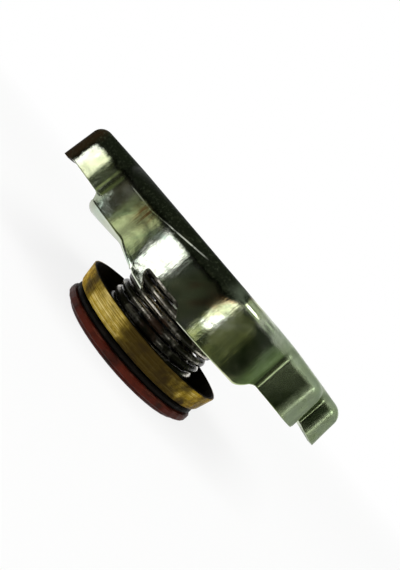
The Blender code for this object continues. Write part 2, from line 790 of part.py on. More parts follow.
def build_stirrup(swivel):
    half_width = STIRRUP_WIDTH / 2.0
    room = SPRING_RADIUS - SPRING_WIRE - STIRRUP_CLEARANCE
    leg = math.sqrt(room**2 - half_width**2)
    foot_tip = leg - STIRRUP_THICKNESS - STIRRUP_FOOT_REACH
    low = STIRRUP_FOOT_Z - STIRRUP_THICKNESS
    bend = STIRRUP_BEND_RADIUS
    corners = [
        (-foot_tip, low, 0.0),
        (-leg, low, bend),
        (-leg, STIRRUP_TOP_Z, bend),
        (leg, STIRRUP_TOP_Z, bend),
        (leg, low, bend),
        (foot_tip, low, 0.0),
    ]
    path = fillet(corners, False)
    bm = bmesh.new()
    rows = [[(point.x, side, point.y) for point in path] for side in (half_width, -half_width)]
    add_rows(bm, rows, False)
    bmesh.ops.recalc_face_normals(bm, faces=bm.faces)
    top_face = max(bm.faces, key=lambda face: face.calc_center_median().z)
    if top_face.normal.z < 0.0:
        bmesh.ops.reverse_faces(bm, faces=bm.faces)
    stirrup = add_object("stirrup", mesh_from(bm, "stirrup"), BLACK_STEEL, swivel)
    add_solidify(stirrup, STIRRUP_THICKNESS)
    margin = STIRRUP_THICKNESS
    hole = round_cutter(
        "stirrup_hole_cutter",
        RIVET_HOLE_RADIUS,
        STIRRUP_TOP_Z - STIRRUP_THICKNESS - margin,
        STIRRUP_TOP_Z + margin,
    )
    add_cut(stirrup, hole)


def build_main_spring(swivel):
    closed_pitch = SPRING_WIRE + SPRING_END_GAP
    rise = SPRING_LENGTH - SPRING_WIRE
    stages = [
        (1.0, closed_pitch),
        (SPRING_MIDDLE_TURNS, rise - 2.0 * closed_pitch),
        (1.0, closed_pitch),
    ]
    points = coil(SPRING_RADIUS - SPRING_WIRE / 2.0, SPRING_START_DEG, stages, SPRING_STEPS)
    base = SPRING_Z + SPRING_WIRE / 2.0
    wire("main_spring", points, SPRING_WIRE, SPRING_STEEL, swivel, base)


def build_seal_stack(valve):
    """From the floor up: red seal with its bead, black backing ring, brass cup."""
    bead_in = BEAD_RADIUS - BEAD_WIDTH / 2.0
    bead_out = BEAD_RADIUS + BEAD_WIDTH / 2.0
    corners = [
        (SEAL_BORE_RADIUS, SEAL_BASE_Z + SEAL_THICKNESS, 0.0),
        (SEAL_RADIUS, SEAL_BASE_Z + SEAL_THICKNESS, RUBBER_EDGE),
        (SEAL_RADIUS, SEAL_BASE_Z, RUBBER_EDGE),
        (bead_out, SEAL_BASE_Z, 0.0),
        (bead_out, 0.0, BEAD_CORNER_RADIUS),
        (bead_in, 0.0, BEAD_CORNER_RADIUS),
        (bead_in, SEAL_BASE_Z, 0.0),
        (SEAL_BORE_RADIUS, SEAL_BASE_Z, 0.0),
    ]
    turned("seal_ring", corners, RED_RUBBER, valve)
    ring(
        "backing_ring",
        SEAL_BORE_RADIUS,
        BACKING_RADIUS,
        BACKING_THICKNESS,
        BLACK_RUBBER,
        valve,
        BACKING_Z,
        edge=RUBBER_EDGE,
    )
    slope_foot = CENTRE_FLAT_RADIUS + CENTRE_SLOPE
    corners = [
        (CUP_RIM_RADIUS, CUP_Z + CUP_HEIGHT, 0.0),
        (CUP_BASE_RADIUS, CUP_Z, CUP_CORNER_RADIUS),
        (slope_foot, CUP_Z, CENTRE_BEND_RADIUS),
        (CENTRE_FLAT_RADIUS, CUP_CENTRE_Z, CENTRE_BEND_RADIUS),
        (GUIDE_HOLE_RADIUS, CUP_CENTRE_Z, 0.0),
    ]
    turned_sheet("brass_cup", corners, CUP_THICKNESS, BRASS, valve)


def build_retainer(valve):
    flange_z = SEAL_BASE_Z - SEAT_GAP - RETAINER_THICKNESS
    wall_foot = SEAL_BORE_RADIUS - RETAINER_WALL_GAP - RETAINER_THICKNESS
    wall_head = CENTRE_FLAT_RADIUS - CENTRE_SLOPE - RETAINER_THICKNESS
    corners = [
        (RETAINER_RADIUS, flange_z, 0.0),
        (wall_foot, flange_z, CENTRE_BEND_RADIUS),
        (wall_head, RETAINER_CENTRE_Z, CENTRE_BEND_RADIUS),
        (GUIDE_HOLE_RADIUS, RETAINER_CENTRE_Z, 0.0),
    ]
    steps = HIDDEN_ROUND_STEPS
    turned_sheet("seal_retainer", corners, RETAINER_THICKNESS, ZINC, valve, 0.0, steps)


def build_guide(valve):
    bore = GUIDE_RADIUS - GUIDE_WALL
    shoulder_z = CUP_CENTRE_Z + CUP_THICKNESS + SEAT_GAP
    shoulder = GUIDE_RADIUS + GUIDE_SHOULDER
    ledge_top = GUIDE_LEDGE_Z + GUIDE_LEDGE_THICKNESS
    ledge_bore = STEM_RADIUS + GUIDE_STEM_CLEARANCE
    top = GUIDE_FLANGE_Z + GUIDE_FLANGE_THICKNESS
    corners = [
        (bore, top, 0.0),
        (GUIDE_FLANGE_RADIUS, top, SHEET_EDGE),
        (GUIDE_FLANGE_RADIUS, GUIDE_FLANGE_Z, SHEET_EDGE),
        (GUIDE_RADIUS, GUIDE_FLANGE_Z, 0.0),
        (GUIDE_RADIUS, shoulder_z + GUIDE_SHOULDER, 0.0),
        (shoulder, shoulder_z + GUIDE_SHOULDER, SHEET_EDGE),
        (shoulder, shoulder_z, 0.0),
        (GUIDE_RADIUS, shoulder_z, 0.0),
        (GUIDE_RADIUS, GUIDE_LIP_Z + GUIDE_LIP_THICKNESS, 0.0),
        (GUIDE_LIP_RADIUS, GUIDE_LIP_Z + GUIDE_LIP_THICKNESS, SHEET_EDGE),
        (GUIDE_LIP_RADIUS, GUIDE_LIP_Z, SHEET_EDGE),
        (bore, GUIDE_LIP_Z, 0.0),
        (bore, GUIDE_LEDGE_Z, 0.0),
        (ledge_bore, GUIDE_LEDGE_Z, 0.0),
        (ledge_bore, ledge_top, 0.0),
        (bore, ledge_top, 0.0),
    ]
    turned("valve_guide", corners, BLACK_STEEL, valve, 0.0, SMALL_ROUND_STEPS)


def build_vacuum_valve(vacuum, valve):
    gasket_z = GUIDE_LIP_Z - SEAT_GAP - VACUUM_GASKET_THICKNESS
    disc_z = gasket_z - SEAT_GAP - VACUUM_DISC_THICKNESS
    hole = STEM_RADIUS + RUNNING_CLEARANCE
    ring(
        "vacuum_gasket",
        hole,
        VACUUM_GASKET_RADIUS,
        VACUUM_GASKET_THICKNESS,
        BLACK_RUBBER,
        vacuum,
        gasket_z,
        edge=SHEET_EDGE,
        steps=SMALL_ROUND_STEPS,
    )
    ring(
        "vacuum_disc",
        hole,
        VACUUM_DISC_RADIUS,
        VACUUM_DISC_THICKNESS,
        BRASS,
        vacuum,
        disc_z,
        steps=SMALL_ROUND_STEPS,
    )
    spring_z = GUIDE_LEDGE_Z + GUIDE_LEDGE_THICKNESS + SEAT_GAP
    washer_z = spring_z + VACUUM_SPRING_LENGTH + SEAT_GAP
    ring(
        "stem_washer",
        hole,
        STEM_WASHER_RADIUS,
        STEM_WASHER_THICKNESS,
        ZINC,
        vacuum,
        washer_z,
        steps=SMALL_ROUND_STEPS,
    )
    head_z = washer_z + STEM_WASHER_THICKNESS + SEAT_GAP
    foot_top = disc_z - SEAT_GAP
    corners = [
        (0.0, head_z + STEM_HEAD_HEIGHT, 0.0),
        (STEM_HEAD_RADIUS, head_z + STEM_HEAD_HEIGHT, SHEET_EDGE),
        (STEM_HEAD_RADIUS, head_z, 0.0),
        (STEM_RADIUS, head_z, 0.0),
        (STEM_RADIUS, foot_top, 0.0),
        (STEM_HEAD_RADIUS, foot_top, 0.0),
        (STEM_HEAD_RADIUS, foot_top - STEM_HEAD_HEIGHT, SHEET_EDGE),
        (0.0, foot_top - STEM_HEAD_HEIGHT, 0.0),
    ]
    turned("vacuum_stem", corners, ZINC, vacuum, 0.0, SMALL_ROUND_STEPS // 2, closed=False)
    rise = VACUUM_SPRING_LENGTH - VACUUM_SPRING_WIRE
    points = coil(
        VACUUM_SPRING_RADIUS - VACUUM_SPRING_WIRE / 2.0,
        0.0,
        [(VACUUM_SPRING_TURNS, rise)],
        SMALL_SPRING_STEPS,
    )
    base = spring_z + VACUUM_SPRING_WIRE / 2.0
    wire("vacuum_spring", points, VACUUM_SPRING_WIRE, SPRING_STEEL, valve, base)


root_empty = add_empty("cover_body")
swivel_empty = add_empty("swivel_axis", root_empty)
valve_empty = add_empty("pressure_valve_slide", swivel_empty)
vacuum_empty = add_empty("vacuum_valve_slide", valve_empty)
build_cover(root_empty)
build_rivet(root_empty)
build_head_stack(swivel_empty)
build_stirrup(swivel_empty)
build_main_spring(swivel_empty)
build_seal_stack(valve_empty)
build_retainer(valve_empty)
build_guide(valve_empty)
build_vacuum_valve(vacuum_empty, valve_empty)
for item in PARTS.objects:
    if item.type == "MESH" and item.name != "cover_shell":
        smooth(item)
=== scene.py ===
"""Radiator cap on white paper: a finer cover and finer springs over the CAD, aged finishes."""
import json
import math

import bmesh
import bpy
from mathutils import Matrix, Vector, noise


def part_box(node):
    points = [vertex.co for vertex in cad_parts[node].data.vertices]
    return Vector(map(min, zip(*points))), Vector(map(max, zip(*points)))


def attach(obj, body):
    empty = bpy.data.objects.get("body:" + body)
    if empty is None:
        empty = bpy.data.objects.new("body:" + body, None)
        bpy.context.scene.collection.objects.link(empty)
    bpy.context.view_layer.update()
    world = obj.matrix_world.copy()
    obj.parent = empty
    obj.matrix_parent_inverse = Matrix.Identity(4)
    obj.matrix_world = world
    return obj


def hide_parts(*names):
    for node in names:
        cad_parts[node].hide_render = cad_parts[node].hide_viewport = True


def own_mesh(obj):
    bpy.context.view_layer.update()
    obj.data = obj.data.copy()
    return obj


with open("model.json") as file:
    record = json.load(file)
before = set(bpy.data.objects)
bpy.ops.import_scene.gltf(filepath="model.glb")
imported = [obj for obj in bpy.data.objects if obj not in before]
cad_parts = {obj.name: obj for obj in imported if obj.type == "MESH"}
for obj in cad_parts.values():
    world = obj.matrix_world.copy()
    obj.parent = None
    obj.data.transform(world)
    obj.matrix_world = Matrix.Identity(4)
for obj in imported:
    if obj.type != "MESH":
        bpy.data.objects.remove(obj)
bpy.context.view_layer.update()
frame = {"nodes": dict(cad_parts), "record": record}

TOP_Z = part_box("cover_shell")[1][2]

# Picture: 400 x 570, the cap seen from the side with its axis turned 49.6 degrees
VIEW_DISTANCE = 0.125
VIEW_SIDE_DEG = 10.8
FOCAL_PIXELS = 622.0
PICTURE_HEIGHT = 570.0
SENSOR_MM = 36.0
ROLL_DEG = 49.6
YAW_DEG = -0.45
PITCH_DEG = 2.93
CLIP_NEAR = 0.01
CLIP_FAR = 20.0

# Lamps: azimuth from the camera's side, sizes and distance in metres
SOFTBOXES = {
    "softbox_left": dict(
        azimuth_deg=-34.5, elevation_deg=14.0, distance=0.60,
        width=0.23, height=0.23, radiance=2.2),
    "softbox_right": dict(
        azimuth_deg=21.0, elevation_deg=15.0, distance=0.60,
        width=0.095, height=0.21, radiance=3.0),
    "strip_above_right": dict(
        azimuth_deg=36.0, elevation_deg=42.0, distance=0.60,
        width=0.16, height=0.17, radiance=3.6),
    "fill": dict(
        azimuth_deg=5.0, elevation_deg=55.0, distance=0.90,
        width=0.80, height=0.80, radiance=4.4, mirrored=False),
}

# Paper: its plan in metres, its white, and how much of it glows for the camera near the cap
PAPER_HALF_WIDTH = 1.4
PAPER_FRONT = 0.10
PAPER_BACK = 1.0
PAPER_BEND = 0.4
PAPER_BEND_STEPS = 12
PAPER_TOP = 1.20
PAPER_WHITE = (0.86, 0.86, 0.86, 1.0)
PAPER_GLOW = 0.86
PAPER_GLOW_Y = (0.06, 0.35)

# Room: linear colours of its parts, as the cap mirrors them
ROOM_FRONT = (0.007, 0.010, 0.005)
ROOM_LEFT = (0.095, 0.105, 0.055)
ROOM_LEFT_LOW = (0.46, 0.50, 0.28)
ROOM_FAR_LEFT = (0.050, 0.046, 0.028)
ROOM_RIGHT = (0.11, 0.15, 0.08)
ROOM_ABOVE_LEFT = (0.020, 0.021, 0.014)
ROOM_ABOVE_RIGHT = (0.30, 0.35, 0.26)
ROOM_BELOW = (0.12, 0.14, 0.09)
ROOM_LOW_LIGHT = (0.50, 0.52, 0.30)
ROOM_BENCH = (0.13, 0.14, 0.07)

# Room: where one part fades into the next, in degrees to the camera's right
LEFT_DEG = (-48.0, -60.0)
FAR_LEFT_DEG = (-80.0, -94.0)
RIGHT_DEG = (64.0, 76.0)
LOW_LIGHT_DEG = (12.0, 16.5, 20.0, 25.0)
BENCH_DEG = (26.0, 31.0, 41.0, 50.0)

# Room: the same as sines, of the height or, for the part above, of the way to the right
LEFT_LOW_RISE = (0.12, 0.03)
LOW_LIGHT_RISE = (0.105, 0.065)
BENCH_RISE = (0.17, 0.07)
ABOVE_RISE = (0.22, 0.42)
BELOW_RISE = (-0.01, -0.05)
ABOVE_SIDE = (0.05, 0.32)

# Zinc: linear colours of the film, the soil and painted shade on it, its painted reflections and
# painted highlight, and the dust
FILM_TEAL = (0.42, 0.60, 0.49)
FILM_SILVER = (0.76, 0.80, 0.68)
FILM_YELLOW = (0.62, 0.66, 0.42)
FILM_BROWN = (0.52, 0.36, 0.20)
CLOUD_GREEN = (0.34, 0.43, 0.27)
STAIN_BROWN = (0.26, 0.13, 0.055)
# Painted reflection on the right ear
EAR_REFLECTION_GREEN = (0.40, 0.50, 0.24)
# Painted shade in the necks
NECK_SHADE_GREEN = (0.20, 0.24, 0.13)
# Dirt with painted shade: black on the left shoulder, brown on the left ear's end
SOIL_AND_SHADE_BLACK = (0.006, 0.008, 0.004)
END_SOIL_AND_SHADE_BROWN = (0.020, 0.012, 0.005)
SOIL_GRIT = (0.030, 0.037, 0.022)
SOIL_BLOT = (0.026, 0.030, 0.016)
# Painted highlight along the shoulder
LINE_PAINTED_HIGHLIGHT = (0.88, 0.92, 0.80)
DUST_GREY = (0.20, 0.24, 0.17)
# Painted reflection, pale, low on the left skirt and claw
LOW_REFLECTION_GREY = (0.47, 0.50, 0.41)

# Zinc: places in metres, each pair running from where a mark is absent to where it is full
STAIN_SPOT = (-0.0104, -0.0275, 0.0228)
STAIN_REACH = 0.0040
RIGHT_EAR_X = (0.0175, 0.0215)
NECK_BANDS_X = (
    (-0.0256, -0.0244, -0.0194, -0.0174),
    (0.0206, 0.0212, 0.0222, 0.0228),
    (0.0296, 0.0300, 0.0312, 0.0318),
)
SOILED_SHADED_SIDE_X = (0.0160, 0.0110)
BROWN_END_X = (-0.0268, -0.0292)
HAZY_END_X = (-0.0235, -0.0285)
SHOULDER_DEPTHS = (0.0048, 0.0010)
FACE_DEPTHS = (0.0004, 0.0001)
FACE_RADII = (0.0315, 0.0262)
LINE_SLOPE = -0.151
LINE_DEPTH = 0.00179
LINE_DEEPEST = 0.0033
LINE_WIDTHS = (0.00016, 0.00005)
LINE_RIGHT_X = (0.003, 0.0)
LINE_LEFT_X = (-0.0175, -0.0150)
LINE_SIDE_Y = (0.0, -0.002)
CORNER_DUST_X = (0.0262, 0.0288)
CORNER_DUST_Y = (-0.0162, -0.0176)
RIM_DUST_DEPTHS = (0.0026, 0.0014)
RIM_DUST_X = (0.007, 0.013)
TIP_DUST_X = (0.0322, 0.0338)
RUBBED_SPOTS = (((0.0125, -0.0255, 0.0255), 0.0045), ((0.0160, -0.0237, 0.0258), 0.0030))
LOW_GREY_DEPTHS = (0.0096, 0.0106)
LOW_GREY_X = (-0.006, -0.009)

# Brass: linear colours, painted shade in its tarnish, smudge and inside colours and painted
# highlight in its rubbed colour; and the places of its dark band and side of painted shade, its
# wall's inside and its lip
BRASS_GOLD = (0.40, 0.28, 0.040)
BRASS_TARNISH_AND_SHADE = (0.050, 0.031, 0.005)
BRASS_RUBBED_AND_HIGHLIGHT = (0.88, 0.74, 0.34)
BRASS_SCORE = (0.10, 0.065, 0.012)
BRASS_SMUDGE_AND_SHADE = (0.035, 0.022, 0.009)
BRASS_INSIDE_SHADE = (0.014, 0.011, 0.006)
BRASS_TINT = (0.80, 0.58, 0.20, 1.0)
BAND_X = 0.0060
CUP_SHADE_SIDE_X = (0.006, 0.011)
CUP_WALL_Z = 0.0039
CUP_FLARE = 0.205
CUP_INSIDE_RADII = (0.01712, 0.01700)
CUP_LIP_Z = (0.0105, 0.0095)

# Other finishes: linear colours, and the height at which the seal's pale edge of dust and painted
# highlight begins
WIRE_BRIGHT = (0.62, 0.58, 0.50)
WIRE_GRIME = (0.030, 0.029, 0.018)
WIRE_RUST = (0.12, 0.060, 0.040)
STEEL_BLACK = (0.030, 0.030, 0.028)
STEEL_WORN = (0.13, 0.12, 0.10)
RUBBER_BLACK = (0.005, 0.004, 0.003)
RUBBER_DUST = (0.024, 0.019, 0.014)
SEAL_RED = (0.095, 0.015, 0.007)
SEAL_FADED = (0.045, 0.008, 0.004)
SEAL_DIRT = (0.022, 0.010, 0.007)
SEAL_DUST_AND_HIGHLIGHT = (0.17, 0.055, 0.035)
SEAL_EDGE_Z = (0.00195, 0.00225)

# Cover: the sizes of its solid, in metres
SHEET = 0.0010
BODY_RADIUS = 0.0294
SHOULDER_RADIUS = 0.0023
FLARE = math.tan(math.radians(4.5))
EAR_REACH = 0.0353
EAR_STEP_X = 0.0302
EAR_HALF_WIDTH = 0.0196
EAR_TIP_HALF_WIDTH = 0.0140
EAR_TIP_SLANT = 0.0029
EAR_ROOT_LENGTH = 0.0034
EAR_ROOT_TAPER = 0.0004
EAR_CORNER_RADIUS = 0.0029
EAR_CLAW_CORNER_RADIUS = 0.0036
EAR_NECK_RADIUS = 0.0022
EAR_BEND_RADIUS = 0.0060
EAR_STEP_RADIUS = 0.0010
EAR_TIP_CORNER_RADIUS = 0.0024
EAR_DROOP_PLUS_DEG = 4.6
EAR_DROOP_MINUS_DEG = 1.2
EAR_DROOP_START = 0.0170
EAR_DROOP_BEND = 0.0060
HOLE_RADIUS = 0.0027
RECESS_RADIUS = 0.0114
RECESS_DEPTH = 0.0016
RECESS_EDGE = 0.0010
SKIRT_DEPTH = 0.0113
TONGUE_DEPTH = 0.0123
TONGUE_KNEE_DEPTH = 0.0119
TONGUE_ROOT_DEPTH = 0.0106
EAR_ROOT_DEPTH = 0.0088
EAR_ROOT_DEPTH_X = BODY_RADIUS * 0.75
EAR_FLANK_DEPTH = 0.0082
EAR_TIP_DEPTH = 0.0073
EAR_TIP_CLAW_SIDE_DEPTH = 0.0092
EAR_TIP_RISE = 0.0006
SKIRT_RISE_DEG = (40.5, 46.0)
TONGUE_START_DEG = -18.3
TONGUE_KNEE_DEG = -6.5
TONGUE_TIP_DEG = -1.0
CLAW_FROM_DEG = -43.5
CLAW_TO_DEG = -19.5
CLAW_LEAD_DEG = 3.0
CLAW_DEPTH = 0.0119
CLAW_INNER_DEPTH = 0.0107
CLAW_BEND_RADIUS = 0.0018
CLAW_INNER_BEND_RADIUS = 0.0009
CLAW_REACH = 0.0048
CLAW_RAMP = 0.0006
NOTCH_FROM_DEG = -4.6
NOTCH_TO_DEG = 9.0
NOTCH_EXIT_DEG = 12.0
NOTCH_TOP_DEPTH = 0.0092
NOTCH_CORNER_RADIUS = 0.0014
NOTCH_CORNER_SHARE = 0.48

# Cover: what only the finer sheet has
CLAW_THIN_DEG = -13.0
CLAW_MERGE_DEG = -8.5
CLAW_THIN_BEND = 0.00045
CLAW_MERGE_BEND = 0.00035
CLAW_LEAST_LIP = 0.00080
CLAW_CORNER_DEG = 4.0
CLAW_CORNER_CUT = 0.0018
RECESS_FLOOR_MARGIN = 0.0006
RECESS_BRINK_MARGIN = 0.0003
SHEET_EDGE = 0.00016
SHEET_EDGE_SEGMENTS = 2
SHEET_EDGE_DEG = 60.0
SMOOTH_DEG = 42.0
EDGE_SMOOTHING = 0.0009
DENT_DEPTH = 0.00009
DENT_WAVES = ((110.0, 0.6), (260.0, 0.25))

# Cover: how finely its rows and columns lie, and how near counts as the same place
BODY_STEP_DEG = 1.2
CORNER_STEP_DEG = 7.5
LONGEST_STEP = 0.0007
NEAREST_COLUMNS = 0.00012
RECESS_STEPS = 10
PLATE_STEPS = 4
OUTER_PLATE_STEPS = 10
SHOULDER_STEPS = 12
SKIRT_STEPS = 9
EDGE_ROW_SHARE = 0.965
CLAW_BEND_STEPS = 8
CLAW_LIP_STEPS = 6
SAME_RADIUS = 0.00005
SAME_BEARING_DEG = 0.01

# Springs: what the boxes and joints of their solids don't say
SPRING_SLOT = "dark_spring_steel"
WIRE_ROUNDNESS = 5
COILS = {
    "main_coil": dict(
        node="main_spring", body="swivel", joint="pressure_lift", wire=0.0016, start_deg=60.0,
        turns=6.6, closed_turns=1.0, end_gap=0.00015, steps_per_turn=64),
    "vacuum_coil": dict(
        node="vacuum_spring", body="pressure_valve", joint="vacuum_drop", wire=0.0004,
        start_deg=0.0, turns=4.0, closed_turns=0.0, end_gap=0.0, steps_per_turn=40),
}


def new_object(name, data):
    made = bpy.data.objects.new(name, data)
    bpy.context.scene.collection.objects.link(made)
    return made


def add_camera():
    """The camera fitted to the photo: level with the top plate, rolled, a little off centre."""
    side = math.radians(VIEW_SIDE_DEG)
    data = bpy.data.cameras.new("camera")
    data.sensor_width = SENSOR_MM
    data.lens = FOCAL_PIXELS * data.sensor_width / PICTURE_HEIGHT
    data.clip_start = CLIP_NEAR
    data.clip_end = CLIP_FAR
    cam = new_object("camera", data)
    yaw = math.radians(YAW_DEG)
    pitch = math.radians(PITCH_DEG)
    roll = math.radians(ROLL_DEG)
    right = Vector((math.cos(side - yaw), math.sin(side - yaw), 0.0))
    ahead = Vector((-math.sin(side - yaw), math.cos(side - yaw), 0.0))
    up = Vector((0.0, 0.0, 1.0))
    forward = ahead * math.cos(pitch) - up * math.sin(pitch)
    level_up = up * math.cos(pitch) + ahead * math.sin(pitch)
    axis_x = right * math.cos(roll) + level_up * math.sin(roll)
    axis_y = level_up * math.cos(roll) - right * math.sin(roll)
    turn = Matrix((axis_x, axis_y, -forward)).transposed().to_4x4()
    place = Vector((VIEW_DISTANCE * math.sin(side), -VIEW_DISTANCE * math.cos(side), TOP_Z))
    cam.matrix_world = Matrix.Translation(place) @ turn
    bpy.context.scene.camera = cam


class Graph:
    """Short calls for the nodes of one tree."""

    def __init__(self, tree, coordinates):
        self.tree = tree
        self.place = self.node("ShaderNodeTexCoord").outputs[coordinates]

    def node(self, kind, **settings):
        made = self.tree.nodes.new(kind)
        for key, value in settings.items():
            setattr(made, key, value)
        return made

    def feed(self, socket, value):
        if isinstance(value, bpy.types.NodeSocket):
            self.tree.links.new(value, socket)
        else:
            socket.default_value = value

    def math(self, operation, *values, clamp=False):
        made = self.node("ShaderNodeMath", operation=operation, use_clamp=clamp)
        for socket, value in zip(made.inputs, values):
            self.feed(socket, value)
        return made.outputs[0]

    def chain(self, operation, first, *others):
        for other in others:
            first = self.math(operation, first, other)
        return first

    def times(self, *values):
        return self.chain("MULTIPLY", *values)

    def plus(self, *values):
        return self.chain("ADD", *values)

    def most(self, *values):
        return self.chain("MAXIMUM", *values)

    def lack(self, mask, share=1.0):
        """1 where the mask is 0, and less by the given share where it is 1."""
        return self.math("MULTIPLY_ADD", mask, -share, 1.0)

    def noise(self, scale, detail=4.0, roughness=0.55, vector=None, distortion=0.0):
        made = self.node("ShaderNodeTexNoise")
        self.feed(made.inputs["Vector"], vector or self.place)
        made.inputs["Scale"].default_value = scale
        made.inputs["Detail"].default_value = detail
        made.inputs["Roughness"].default_value = roughness
        made.inputs["Distortion"].default_value = distortion
        return made.outputs["Fac"]

    def steps(self, value, low, high, start=0.0, end=1.0):
        """A soft run from start at low to end at high, which may lie below low."""
        made = self.node("ShaderNodeMapRange", interpolation_type="SMOOTHSTEP")
        self.feed(made.inputs[0], value)
        for socket, number in zip(made.inputs[1:5], (low, high, start, end)):
            socket.default_value = number
        return made.outputs[0]

    def band(self, value, low, first, last, high):
        """1 from first to last, falling to 0 at low and at high."""
        return self.times(self.steps(value, low, first), self.steps(value, high, last))

    def mix(self, share, first, second):
        made = self.node("ShaderNodeMix", data_type="RGBA")
        self.feed(made.inputs[0], share)
        for socket, colour in ((made.inputs[6], first), (made.inputs[7], second)):
            fed = isinstance(colour, bpy.types.NodeSocket)
            self.feed(socket, colour if fed else (*colour, 1.0))
        return made.outputs[2]

    def stretch(self, scale):
        made = self.node("ShaderNodeMapping")
        self.feed(made.inputs["Vector"], self.place)
        made.inputs["Scale"].default_value = scale
        return made.outputs[0]

    def parts(self):
        made = self.node("ShaderNodeSeparateXYZ")
        self.feed(made.inputs[0], self.place)
        return made.outputs

    def join(self, x, y, z):
        made = self.node("ShaderNodeCombineXYZ")
        for socket, value in zip(made.inputs, (x, y, z)):
            self.feed(socket, value)
        return made.outputs[0]

    def radius(self):
        x, y, _ = self.parts()
        return self.math("SQRT", self.plus(self.math("POWER", x, 2.0), self.math("POWER", y, 2.0)))

    def rings(self, density, wander=0.012):
        """Coordinates that change fast across a turned surface and slowly round it."""
        x, y, z = self.parts()
        return self.join(
            self.plus(self.times(self.radius(), density), self.times(x, density * wander)),
            self.times(z, density),
            self.times(y, density * wander),
        )

    def against(self, operation, vector):
        """A vector operation between the place and a fixed vector."""
        made = self.node("ShaderNodeVectorMath", operation=operation)
        self.feed(made.inputs[0], self.place)
        made.inputs[1].default_value = vector
        return made.outputs["Value"]

    def near(self, spot, reach):
        """1 at a spot, falling to 0 at the given distance from it."""
        return self.steps(self.against("DISTANCE", spot), reach, 0.0)

    def bump(self, height, strength, distance, below=None):
        made = self.node("ShaderNodeBump")
        made.inputs["Strength"].default_value = strength
        made.inputs["Distance"].default_value = distance
        self.feed(made.inputs["Height"], height)
        if below:
            self.feed(made.inputs["Normal"], below)
        return made.outputs[0]


class Surface(Graph):
    """A Principled material and the nodes that feed it."""

    def __init__(self, name, metallic=0.0, roughness=0.5, level=0.5):
        self.material = bpy.data.materials.new(name)
        self.material.use_nodes = True
        super().__init__(self.material.node_tree, "Object")
        self.shader = self.tree.nodes["Principled BSDF"]
        self.shader.inputs["Metallic"].default_value = metallic
        self.shader.inputs["Roughness"].default_value = roughness
        self.shader.inputs["Specular IOR Level"].default_value = level

    def finish(self, colour, roughness, normal):
        self.feed(self.shader.inputs["Base Color"], colour)
        self.feed(self.shader.inputs["Roughness"], roughness)
        self.feed(self.shader.inputs["Normal"], normal)
        return self.material


def below_top(depths):
    """The heights that lie at these depths below the top plate."""
    return [TOP_Z - depth for depth in depths]


